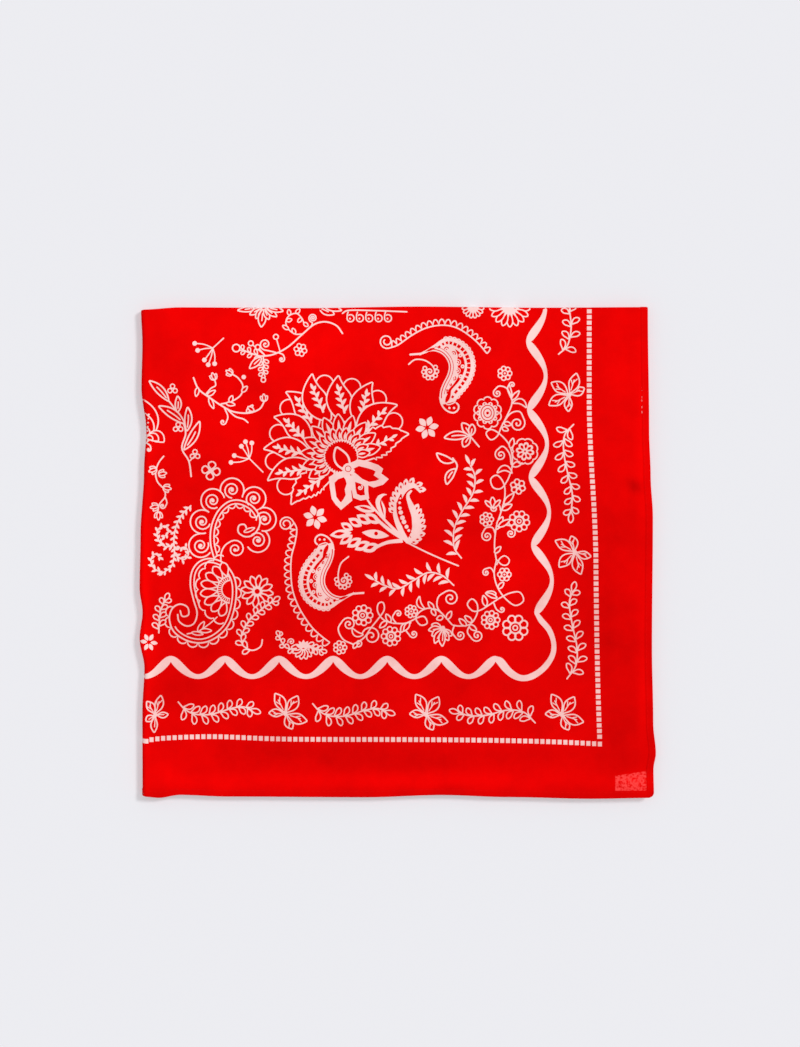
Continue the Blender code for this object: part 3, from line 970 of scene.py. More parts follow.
        # The thorny vines.
        stems = (
            ([26.5 + 105.5j, 22 + 110j, 18.5 + 116.5j, 17.2 + 124j, 17.5 + 131j, 16 + 138j, 11.5 + 141.5j],
             3.0),
            ([17 + 127j, 12.5 + 127.5j, 9 + 124j, 8.5 + 119j, 12 + 116.5j, 14.5 + 119j, 12.5 + 122j], 2.8),
            ([17.5 + 132j, 22.5 + 134.5j, 25 + 131.5j, 23.5 + 128j, 20.5 + 128.5j], 2.8),
            ([11.5 + 141.5j, 7 + 139.5j, 5 + 135j, 7 + 131.5j, 9.5 + 133j], 2.8),
        )
        for stem, gap in stems:
            Sprig(stem, 2.8, 1.25, gap, Leaf.SOLID, 42, 1.0).draw(pen)
        self.crescent()
        self.fan_paisley()
        Bloom(61.7 + 151.5j, 8.8, 12, Petals.DAISY, 8).draw(pen)
        stem = [64.5 + 177j, 63.5 + 181j, 59 + 183j, 54.5 + 180.5j, 53.5 + 175j, 57.5 + 167j, 64 + 161j,
                70 + 157j]
        Sprig(stem, 4.6, 2.4, 4.4, bare=11).draw(pen)
        stem = [9.2 + 174j, 9.4 + 168j, 10.2 + 161.5j, 12.5 + 156.5j]
        Sprig(stem, 4.6, 2.4, 4.0, spread=50, bare=3).draw(pen)
        star, daisy = 3.9 + 178.6j, 86.4 + 181.4j
        for angle in (8, 66, 118, 186, 243, 298):
            pen.leaf(star + turned(angle) * 0.9, star + turned(angle) * 4.8, 2.1, Leaf.SOLID, 0.95)
        # The half daisy and its sprig.
        for angle in range(-2, 183, 26):
            pen.leaf(daisy + turned(angle), daisy + turned(angle) * 6.6, 3.0, line=0.85)
        for angle in (-160, -125, -90, -55, -20):
            pen.leaf(86.4 + 181.6j, 86.4 + 181.6j + turned(angle) * 4.3, 1.9, Leaf.SOLID, 0.9)
        pen.curl(79.9 + 178.4j, 1.9, 160, 1.4, 0.75)
        stem = [83 + 182j, 78.5 + 182j, 75 + 179j, 73.5 + 175.5j]
        Sprig(stem, 3.2, 1.9, 4.2, bare=3, line=0.8).draw(pen)
        Sprig([88 + 180j, 92 + 182j, 95.5 + 183j], 3.6, 2.0, 3.0, bare=1, line=0.8).draw(pen)

    def crescent(self) -> None:
        """Draw the crozier with a ring of lobes round it, each with a spiral inside."""
        pen = self.pen
        centre = 50 + 117j
        lobes = (62 + 124.3j, 65.5 + 113j, 60 + 102j, 48.3 + 97.3j, 38 + 103j, 32.3 + 114.3j, 31.5 + 127j)
        for at in lobes:
            out = math.degrees(np.angle(at - centre))
            pen.disc(at, 6.0, ink=False)
            pen.line(arc(at, 6.3, out - 118, out + 118), 0.9)
            pen.line(spiral(at, 4.4, out + 185, 1.75), 0.9)
            pen.disc(at, 0.95)
        crozier = [39 + 135j, 36.8 + 126j, 37.2 + 117j, 40.5 + 109j, 46 + 103.8j, 52 + 102.8j,
                   58.5 + 105.5j, 62.5 + 110.5j, 63 + 116j, 60 + 121j, 55.5 + 122.3j, 51.7 + 120j,
                   52 + 116.3j, 55 + 115.8j, 56 + 118j]
        path = bend(crozier)
        count = int(len(path) * 0.66)
        inner = path + 1j * heading(path) * 2.0
        outline = inner[2:count]
        pen.strip(outline[: len(outline) // 2], outline[::-1][: len(outline) // 2], ink=False)
        pen.line(path, 0.95)
        pen.line(outline, 0.85)
        pen.line(arches(inner[4:count], 2.2, 4.4, 0.5), 0.8)
        pen.leaf(54.5 + 119.8j, 60.5 + 117.5j, 1.8, line=0.75)
        pen.tendril([42.3 + 137j, 42.5 + 131j, 44.5 + 127j, 47.5 + 124.8j], 1.7, 4.9)
        pen.disc(49.8 + 129.4j, 0.9)

    def fan_paisley(self) -> None:
        """Draw the big paisley: a double outline, a fan of petals inside and scallops outside."""
        pen = self.pen
        outline = [20.5 + 161.5j, 21.7 + 164.8j, 25 + 164j, 24.5 + 160j, 20.5 + 158.3j, 16.5 + 160.5j,
                   14.8 + 166j, 17.2 + 173j, 24 + 177.7j, 32 + 179j, 39.5 + 176.3j, 45.8 + 170.3j,
                   49.3 + 161.5j, 50.6 + 151j, 49 + 143j, 44 + 136.5j, 37 + 134j, 31 + 135.5j, 27 + 140.5j,
                   26 + 148j, 27.7 + 156j, 29.6 + 163j, 28 + 168.5j, 24 + 170j, 20 + 167.5j, 19.2 + 163.5j]
        path = bend(outline)
        run = runs(path)
        body = path[(run > 38) & (run < 128)]
        half = len(body) // 2
        pen.strip(body[:half], body[::-1][:half], ink=False)
        pen.line(arches(path[(run > 19.5) & (run < 95)], 2.6, 5.6, 0.5), 0.85)
        pen.line(path, 0.95)
        inner = path + 1j * heading(path) * -2.0
        pen.line(inner[(run > 31) & (run < run[-1] - 22)], 0.85)
        eye = 47.8 + 150.5j
        pen.line(arches(arc(eye + 0.5, 18.2, 104, 256), -1.5, 6.0, 0.6), 0.85)
        for angle in np.linspace(112, 252, 8):
            way = turned(angle)
            length = 17.0 - 1.8 * abs(math.sin(math.radians(angle)))
            pen.leaf(eye + way * 7.2, eye + way * length, 4.4, Leaf.LOOP, 1.4, line=0.85, fill=0.7)
        for angle in np.linspace(100, 260, 17):
            way = turned(angle)
            pen.line(joined(eye + way * 5.2, eye + way * 7.0), 0.5)
        pen.line(arc(eye, 5.0, 96, 264), 0.75)
        pen.line(arc(eye, 7.3, 96, 264), 0.8)
        pen.stem([24 + 174.3j, 30 + 172.8j, 36 + 169j, 40.5 + 165j], 0.75)
        pen.leaf(30 + 173j, 33.5 + 167.5j, 2.4, line=0.75)
        pen.leaf(31 + 172.5j, 37.5 + 172.5j, 2.2, line=0.75)
        pen.leaf(26.5 + 173.5j, 33 + 174.5j, 1.8, line=0.7)

    def buds(self) -> None:
        """Draw the spray under the lotus: a serrated leaf, a curled bud and small leaves."""
        pen = self.pen
        pen.stem([141 + 125j, 152 + 130.5j, 161 + 134.5j, 169.5 + 138j], 0.95)
        branch = bend([120 + 101.5j, 123 + 106j, 129 + 112.5j, 136 + 119.5j, 142 + 125j])
        pen.swell(branch, np.linspace(0.45, 0.9, len(branch)))
        pen.leaf(124.8 + 108.4j, 113.6 + 106.4j, 3.9, Leaf.SOLID, 0.85)
        pen.drop(123 + 108.1j, 116 + 106.2j, 1.35)
        horn = bend([129.8 + 112.8j, 129 + 110.5j, 128.4 + 108.1j, 127.3 + 105.6j, 126.6 + 103.2j,
                     127.2 + 101.1j])
        horn = np.append(horn, bend([127.2 + 101.1j, 129 + 99.9j, 131 + 99.8j])[1:])
        halves = (0.4, 1.3, 2, 2.1, 1.8, 1.2, 0.7, 0.1)
        pen.swell(horn, np.interp(evenly(horn), evenly(halves), halves))
        slit = bend([129.3 + 110.6j, 128.4 + 107.2j, 127.7 + 104.1j, 128.2 + 101.6j])
        pen.swell(slit, 0.5 * np.sin(np.pi * np.linspace(0.03, 0.97, len(slit))), ink=False)
        self.serrated_leaf(138.5 + 123.5j, 100.5 + 121.5j)
        self.curled_bud()

    def serrated_leaf(self, base: complex, tip: complex) -> None:
        """Draw a leaf framed by slanted hollow teeth, with an eye in its middle.

        Args:
            base: Where the frame's two strands part.
            tip: The point of its last tooth.
        """
        pen = self.pen
        length = abs(tip - base)
        way = (tip - base) / length

        def at(along: float, out: float) -> complex:
            """A place along the leaf's bowed middle and a distance to its side."""
            return base + way * complex(along, out + 2.5 * math.sin(math.pi * along / length))

        for side in (-1, 1):
            places = [at(-1, side * 0.6), at(6, side * 3.1), at(10.5, side * 5.6), at(13.6, side * 7.9)]
            strand = bend(places, 0.7)
            pen.swell(strand, np.linspace(1.1, 0.75, len(strand)))
        teeth = ((16.2, 7.7, 1.0), (20.8, 7.0, 1.0), (25.2, 5.3, 0.95), (29.5, 3.3, 0.85))
        for along, out, size in teeth:
            for side in (-1, 1):
                foot = at(along - 4.2 * size, side * (out - 2.0))
                point = at(along + 3.5 * size, side * (out + 2.4))
                pen.leaf(foot, point, 4.9 * size, Leaf.SOLID, 0.9)
        pen.leaf(at(26.5, 0), tip, 4.6, Leaf.SOLID, 1.0)
        for along, out, size in teeth:
            for side in (-1, 1):
                foot = at(along - 2.2 * size, side * (out - 1))
                point = at(along + 1.9 * size, side * (out + 0.9))
                pen.drop(foot, point, 1.95 * size)
        pen.drop(at(30, 0.1), at(35.8, 0.1), 2.0)
        pen.leaf(at(6.4, 0), at(21, 0), 4.7, Leaf.SOLID, 1.0)
        pen.disc(at(13.4, 0), 1.05, ink=False)

    def curled_bud(self) -> None:
        """Draw two fat limbs that curl over together, with toothed outer edges and a beaded slit."""
        pen = self.pen
        left = bend([142.5 + 125.5j, 138 + 118j, 136 + 109.5j, 137 + 102j, 140.8 + 96.5j, 145.5 + 95j,
                     149 + 98.8j], 0.5)
        right = bend([142.5 + 125.5j, 147 + 119.5j, 146.6 + 112j, 143.8 + 105.5j, 142.2 + 100.5j,
                      144.2 + 97.5j], 0.5)
        limbs = (
            (left, (1.0, 1.4, 1.7, 2.0, 1.9, 1.6, 0.3), 1, 0.42, 0.97),
            (right, (1.2, 2.9, 2.7, 1.9, 1.1, 0.5), -1, 0.06, 0.64),
        )
        for path, widths, side, start, stop in limbs:
            half = np.interp(evenly(path), evenly(widths), widths)
            way = -side * 1j * heading(path)
            pen.swell(path, half)
            marks = np.arange(int(start * len(path)), int(stop * len(path)), 5)
            for at in marks:
                foot = path[at] + way[at] * half[at] * 0.45
                pen.leaf(foot, foot + way[at] * turned(side * 36) * 4.0, 2.9, Leaf.SOLID, 0.95)
            for at in marks:
                foot = path[at] + way[at] * half[at] * 0.7
                pen.drop(foot, foot + way[at] * turned(side * 36) * 2.0, 0.95)
        slit = bend([143.6 + 120.5j, 140 + 114j, 137.8 + 106j, 138.6 + 99.5j], 0.6)
        fullness = np.sin(np.pi * np.linspace(0.03, 0.97, len(slit)) ** 0.85) ** 0.8
        pen.swell(slit, 2.2 * fullness, ink=False)
        for number, radius in enumerate((0.75, 1.05, 1.2, 1.25, 1.15, 0.95, 0.7, 0.45)):
            pen.disc(slit[int((0.09 + 0.118 * number) * (len(slit) - 1))], radius)
        pen.line(bend([144 + 123j, 139.5 + 117j, 136.6 + 110j, 136.2 + 104j], 0.7), 0.35, ink=False)

    def paisleys(self) -> None:
        """Draw the two comma paisleys, their dotted curls and the two combs."""
        pen = self.pen
        CommaPaisley(143 + 25j, 0).draw(pen)
        CommaPaisley(119 + 152.3j, 180).draw(pen)
        DottedCurl([142.4 + 30.4j, 146 + 27.7j, 151 + 28j, 155 + 30.5j, 156.4 + 33j], 1.5).draw(pen)
        DottedCurl([110.8 + 132.7j, 106.5 + 136.5j, 105 + 142j, 105.2 + 146j], -1.5).draw(pen)
        top = [132 + 21.6j, 137 + 19.8j, 144.5 + 14.6j, 152 + 10.8j, 160.5 + 9.3j, 168 + 10.6j]
        Comb([*top, 175 + 14.8j, 180.5 + 19.7j, 184.5 + 24.5j], -1, 1.45, 3.1).draw(pen)
        left = [80.5 + 113.5j, 82.8 + 118j, 82 + 125j, 80 + 133j, 79.7 + 142j, 80.7 + 151j]
        left += [84 + 160j, 90 + 169.5j, 95.5 + 175j, 100.5 + 178.8j]
        Comb(left, 1, -1.6, 3.8, height=3.4).draw(pen)

    def sprays(self) -> None:
        """Draw the loose stars, sprouts and solid-leaf branches of the field."""
        pen = self.pen
        Bloom(152.5 + 64j, 6.3, 6, Petals.STAR, -10).draw(pen)
        Bloom(92.7 + 112j, 6.5, 6, Petals.STAR, 15).draw(pen)
        pen.line(joined(180.5 + 74.5j, 175 + 68j), 1.0)
        tips = ((161.5 + 69.5j, 4.4), (171 + 61.5j, 4.2), (176.5 + 62j, 3.6), (172 + 74.5j, 4.0))
        for tip, width in tips:
            pen.leaf(175.5 + 68.5j, tip, width, Leaf.VEINED, 1.05, 0.06, 0.95)
        pen.stem([166 + 80j, 168.5 + 84j, 167.5 + 88j], 1.0)
        pen.leaf(167 + 82j, 157.5 + 77.5j, 3.8, Leaf.LOOP, 1.0, -0.12, 1.0)
        pen.leaf(168 + 86j, 163 + 94.5j, 4.0, Leaf.VEINED, 1.0, 0.12, 1.0)
        solid = {"leaf": 6.3, "width": 1.8, "gap": 4.7, "kind": Leaf.SOLID, "spread": 55}
        for stem in (
            [171 + 134j, 167 + 128j, 167 + 118j, 171 + 109j, 177 + 99j, 178 + 90j, 175.5 + 84j],
            [167 + 148.5j, 160.5 + 143j, 153 + 141.5j, 145.5 + 145.5j, 137 + 150j, 129 + 148j,
             124.5 + 145.5j],
        ):
            Sprig(stem, **solid).draw(pen)

    def vine_down(self) -> None:
        """Draw the flowered vine that runs down the right of the field."""
        pen = self.pen
        pen.tendril([197.5 + 48.5j, 195.5 + 43.5j, 196.5 + 40.5j], 1.1, 1.6)
        for stem in (
            [196.3 + 40.5j, 197.8 + 46j, 197.6 + 52j, 195 + 58j, 192 + 64j, 190 + 68.5j, 186.5 + 70.5j,
             184 + 67j, 187 + 65j, 192 + 68j, 196.5 + 73.5j, 198 + 80j, 197.8 + 86j],
            [197.8 + 86j, 195.5 + 92j, 192 + 96.5j, 187.8 + 96j, 186.5 + 91.5j, 190 + 89.5j, 193.5 + 94j,
             194 + 101j, 192 + 109j, 189.5 + 117j, 188.5 + 127j, 189.5 + 135j],
            [189.5 + 135j, 188.3 + 142j, 190 + 149j, 194 + 155j, 199.5 + 159j, 204 + 156.5j, 202 + 152j,
             196.5 + 152.5j, 190.5 + 155.5j],
        ):
            pen.stem(stem)
        rows = (
            ([197.6 + 47.5j, 195 + 43j, 191 + 41.8j, 188.4 + 44j], -1.35, 2.3),
            ([192.5 + 62.5j, 197 + 56.5j, 202 + 55.5j, 204.5 + 60j], 1.6, 4.2),
            ([197.5 + 84j, 196.5 + 78j, 193 + 74j, 189.8 + 76j], -1.5, 3.2),
            ([192 + 109j, 191 + 105.5j, 188.5 + 105j], -1.3, 2.2),
            ([189 + 121j, 187.5 + 117.5j, 184 + 117.5j, 182 + 120.5j], -1.5, 2.9),
            ([189.5 + 118.5j, 194 + 116j, 199 + 117.5j, 199.5 + 120.5j], 1.4, 2.3),
            ([188.5 + 142j, 186.5 + 139j, 183.5 + 139.5j], -1.3, 2.0),
        )
        pen.tendrils(rows)
        loop = [189.6 + 134.5j, 192.5 + 137.3j, 195.4 + 137.2j, 196.4 + 134.6j, 194 + 132.5j, 191.3 + 134j,
                189.6 + 137.5j]
        pen.stem(loop, 0.8)
        rows = (
            (197.6 + 49.3j, 201.8 + 44.2j, 2.2), (193.5 + 61.5j, 197.5 + 62.5j, 2.2),
            (192.5 + 64j, 196 + 65.5j, 2.2), (197 + 75j, 198.5 + 69.5j, 2.6),
            (198 + 84.5j, 203.5 + 82.5j, 2.6), (193.5 + 105j, 199 + 99j, 2.8),
            (192.5 + 108j, 198 + 105j, 2.6), (190 + 117j, 193 + 111.5j, 2.6),
            (190.5 + 117j, 197 + 113j, 2.6), (188.5 + 131j, 192 + 127.5j, 2.2),
            (190.5 + 150j, 193.5 + 146.5j, 2.2), (189.5 + 153j, 184 + 152j, 2.4),
        )
        pen.leaves(rows)
        for base, tip, bow in ((198 + 51j, 205.6 + 53.5j, -0.3), (198 + 88.5j, 189.8 + 88.3j, 0.35)):
            pen.leaf(base, tip, 2.8, Leaf.LOOP, 1.0, bow, 0.85)
        blooms = (
            (194 + 35j, 3.8, 7, Petals.ROUND), (204.8 + 76.7j, 6.9, 8, Petals.SCALLOP, 10),
            (201 + 95.5j, 4.2, 6, Petals.DAISY, 20), (184.3 + 113j, 3.7, 7, Petals.ROUND),
            (201.7 + 114j, 5.6, 9, Petals.ROUND, 10), (193.8 + 142.5j, 3.6, 6, Petals.ROUND),
        )
        for bloom in blooms:
            Bloom(*bloom).draw(pen)
        for tip, width in ((183.4 + 103j, 2.0), (187.4 + 101j, 2.6), (191.6 + 102.6j, 2.0)):
            pen.leaf(187.7 + 107j, tip, width, Leaf.LOOP, 1.1, line=0.85)
        # The big ringed flower.
        centre = 184.8 + 56.2j

        def oval(radius: float) -> Array:
            """An upright oval round the flower's middle."""
            ring = arc(0, radius, 0, 360)
            return centre + ring.real * 0.9 + 1j * ring.imag * 1.06

        pen.disc(centre, 8.2, ink=False)
        pen.line(arches(oval(7.0), -1.2, 4.4, 0.6), 0.85)
        for number in range(10):
            pen.disc(centre + turned(36 * number) * 4.8, 1.25)
        pen.disc(centre, 5.0)
        for number in range(10):
            pen.disc(centre + turned(36 * number) * 5.1, 0.4, ink=False)
        pen.line(oval(3.9), 0.5, ink=False)
        pen.line(oval(2.3), 0.5, ink=False)
        pen.disc(centre, 0.8, ink=False)

    def vine_across(self) -> None:
        """Draw the flowered vine that runs along the bottom of the field."""
        pen = self.pen
        for stem in (
            [190.5 + 155.5j, 186 + 158.5j, 181 + 161.5j, 177 + 162j, 174 + 158.5j, 176.5 + 155.5j,
             179.3 + 158.5j, 179 + 164j, 175.5 + 169j, 170 + 170j, 166 + 169.5j],
            [166 + 169.5j, 162 + 165j, 158 + 161.5j, 153 + 160.5j, 148.5 + 162.5j, 146.5 + 166j,
             149 + 169.5j, 152.5 + 168.5j, 151 + 165j, 147.5 + 165.5j, 141 + 168.5j, 134 + 168.5j],
            [134 + 168.5j, 129 + 166.5j, 126 + 162j, 126.5 + 158j, 129 + 157.5j, 129.5 + 161.5j,
             126.5 + 166j, 122.5 + 171j, 118.5 + 176.5j, 113 + 179.8j],
        ):
            pen.stem(stem)
        rows = (
            ([162 + 165j, 158 + 160j, 158.5 + 154.5j, 162.5 + 151.5j], 1.6, 4.4),
            ([176 + 168.5j, 174 + 173j, 176.5 + 177j], -1.5, 3.3),
            ([167 + 169.8j, 166 + 173.5j, 168 + 176.5j], -1.4, 2.7),
            ([144 + 168j, 141 + 171.5j, 143.5 + 175.5j], -1.3, 2.2),
            ([136 + 168.5j, 134 + 165.5j, 135.5 + 162.5j], 1.2, 1.9),
            ([188 + 157.5j, 189.5 + 161j, 191.5 + 162.5j], -1.1, 1.7),
        )
        pen.tendrils(rows)
        pen.curl(122.7 + 175.4j, 5.3, 178, 1.7)
        pen.leaf(118.5 + 174.5j, 112.5 + 171j, 2.6, Leaf.LOOP, 1.0, -0.25)
        pen.tendril([113 + 179.8j, 107.5 + 177j, 105 + 171.5j, 107.5 + 167j], 1.6, 3.7)
        pen.tendril([112.5 + 179.8j, 115 + 181j], -1.2, 2.1)
        pen.leaf(151.5 + 161j, 148.5 + 154j, 2.4, Leaf.LOOP, 1.0, -0.25)
        rows = (
            (184 + 159.5j, 182.5 + 153.5j, 2.6), (190 + 155j, 183.5 + 152.3j, 2.0),
            (176.5 + 168j, 172.5 + 164.5j, 2.4), (175 + 169.5j, 179 + 172.5j, 2.4),
            (173.5 + 170j, 169.5 + 166j, 2.4), (163 + 166.5j, 165.5 + 162j, 2.4),
            (161 + 165j, 157.5 + 166.5j, 2.4), (156 + 161j, 153 + 157j, 2.2),
            (155 + 161j, 157 + 164.5j, 2.2), (141 + 168.5j, 138.5 + 173.5j, 2.6),
            (143 + 168j, 140 + 172.8j, 2.4), (131 + 167.5j, 127 + 171j, 2.4),
            (133 + 168j, 130.5 + 163.5j, 2.4), (115 + 179j, 113 + 182j, 2.0),
        )
        pen.leaves(rows)
        blooms = (
            (186.4 + 166.8j, 5.0, 9, Petals.ROUND), (144 + 162.2j, 3.4, 7, Petals.ROUND),
            (133.2 + 175.5j, 5.2, 9, Petals.ROUND, 20), (118 + 164.3j, 5.5, 9, Petals.ROUND),
            (106 + 181.5j, 3.6, 7, Petals.ROUND), (199.6 + 171j, 6.9, 8, Petals.ROUND, 22),
        )
        for bloom in blooms:
            Bloom(*bloom).draw(pen)
        fan = (-165, 40, 170, 66, 143, 118, 92)
        lengths, widths = (6.5, 6.5, 8, 7.5, 7.5, 9.5, 10), (2.8, 2.8, 3.0, 3.0, 3.0, 3.4, 3.4)
        Blossom(161 + 171j, 0, 1.0, fan, lengths, widths).draw(pen)


# ---------------------------------------------------------------- the folded cloth


class Bend(NamedTuple):
    """How far a side lies inside the packet's box, at a distance along that side."""

    along: float
    inset: float


class Crease(NamedTuple):
    """A soft ridge or trough: its middle, half lengths, turn in degrees and rise."""

    x: float
    y: float
    along: float
    across: float
    turn: float
    rise: float


LEFT_FOLD = (
    Bend(0, 0.8), Bend(18, 1.5), Bend(42, 1.0), Bend(65, 3.6), Bend(86, 2.4), Bend(122, 0.5),
    Bend(150, 0.0), Bend(163, 1.6), Bend(177, 0.0), Bend(193, 2.6), Bend(216, 1.5), Bend(262, 1.6),
)
RIGHT_EDGE = (
    Bend(0, 4.3), Bend(66, 3.6), Bend(90, 2.8), Bend(112, 1.6), Bend(182, 2.1), Bend(222, 1.4),
    Bend(238, 0.0), Bend(246, 1.3), Bend(262, 1.0),
)
TOP_FOLD = (Bend(0, 1.6), Bend(20, 0.4), Bend(90, 0.8), Bend(150, 0.0), Bend(215, 0.6), Bend(275, 0.3))
BOTTOM_EDGE = (
    Bend(0, 1.2), Bend(9, 0.5), Bend(20, 2.1), Bend(46, 1.2), Bend(120, 0.8), Bend(160, 2.0),
    Bend(196, 0.9), Bend(240, 0.0), Bend(275, 0.5),
)

# Distances right from the left fold and down from the top fold.
CREASES = (
    Crease(5, 60, 55, 3.2, 90, 0.42),
    Crease(5, 205, 62, 3.4, 90, 0.55),
    Crease(15, 256, 9, 2.0, -12, 0.50),
    Crease(16, 259, 8, 1.6, -14, -0.35),
    Crease(246, 190, 48, 2.6, 92, -0.34),
    Crease(252, 185, 42, 2.8, 91, 0.30),
    Crease(252, 183, 14, 2.2, 3, -0.30),
    Crease(256, 148, 13, 2.0, -6, -0.26),
    Crease(250, 222, 20, 2.4, 96, -0.30),
    Crease(262, 96, 3.6, 2.6, 35, -0.75),
    Crease(260, 91, 12, 4.0, 55, 0.22),
    Crease(120, 240, 70, 4.0, 2, 0.24),
    Crease(140, 247, 80, 3.0, 1, -0.22),
    Crease(60, 245, 26, 4.0, -4, -0.20),
    Crease(34, 205, 20, 8.0, 20, -0.40),
    Crease(28, 20, 26, 12.0, 80, -0.30),
    Crease(100, 205, 60, 6.0, 2, 0.22),
    Crease(190, 204, 30, 5.0, -4, -0.22),
)

# Painted light and shade, partly uneven dye: paler (above zero) and darker (below zero)
# places of the cloth, in the same distances. The pale bands lie along the hems and the left
# fold, and the dark ones mostly over the creases.
PAINTED_SHADE_AND_DYE = (
    Crease(2.6, 165, 92, 3.4, 90, 0.50),
    Crease(135, 252, 130, 4.6, 0, 0.34),
    Crease(262, 252, 7, 3.0, -6, 0.45),
    Crease(12, 246, 9, 6.0, 40, 0.20),
    Crease(140, 240, 110, 5.0, 1, -0.10),
    Crease(75, 236, 24, 4.0, 4, -0.16),
    Crease(205, 238, 32, 5.0, -3, -0.14),
    Crease(255, 45, 42, 9.0, 90, 0.20),
    Crease(267, 70, 60, 3.0, 90, 0.26),
    Crease(268, 205, 40, 2.6, 90, 0.30),
    Crease(247, 166, 26, 15.0, 88, -0.30),
    Crease(254, 220, 26, 12.0, 92, -0.20),
    Crease(252, 120, 14, 12.0, 20, -0.16),
    Crease(264, 96, 4.2, 3.2, 30, -0.70),
    Crease(74, 18, 50, 17.0, 2, 0.20),
    Crease(12, 26, 18, 11.0, 80, -0.22),
    Crease(23, 58, 9, 5.0, 55, -0.34),
    Crease(40, 162, 34, 20.0, -10, -0.16),
    Crease(30, 205, 16, 8.0, 15, -0.24),
    Crease(64, 212, 10, 8.0, 60, 0.18),
    Crease(110, 76, 34, 24.0, 30, -0.12),
    Crease(160, 165, 52, 14.0, 6, -0.12),
)


def eased(table: Sequence[Bend], along: Array) -> Array:
    """Read a side's inset between its rows, with a smooth step from row to row.

    Args:
        table: The side's rows.
        along: Distances along the side.

    Returns:
        The inset at each distance.
    """
    marks = np.array([row.along for row in table])
    insets = np.array([row.inset for row in table])
    place = np.interp(along, marks, np.arange(len(table)))
    low = np.minimum(place.astype(int), len(table) - 2)
    part = place - low
    part = part * part * (3 - 2 * part)
    return insets[low] * (1 - part) + insets[low + 1] * part


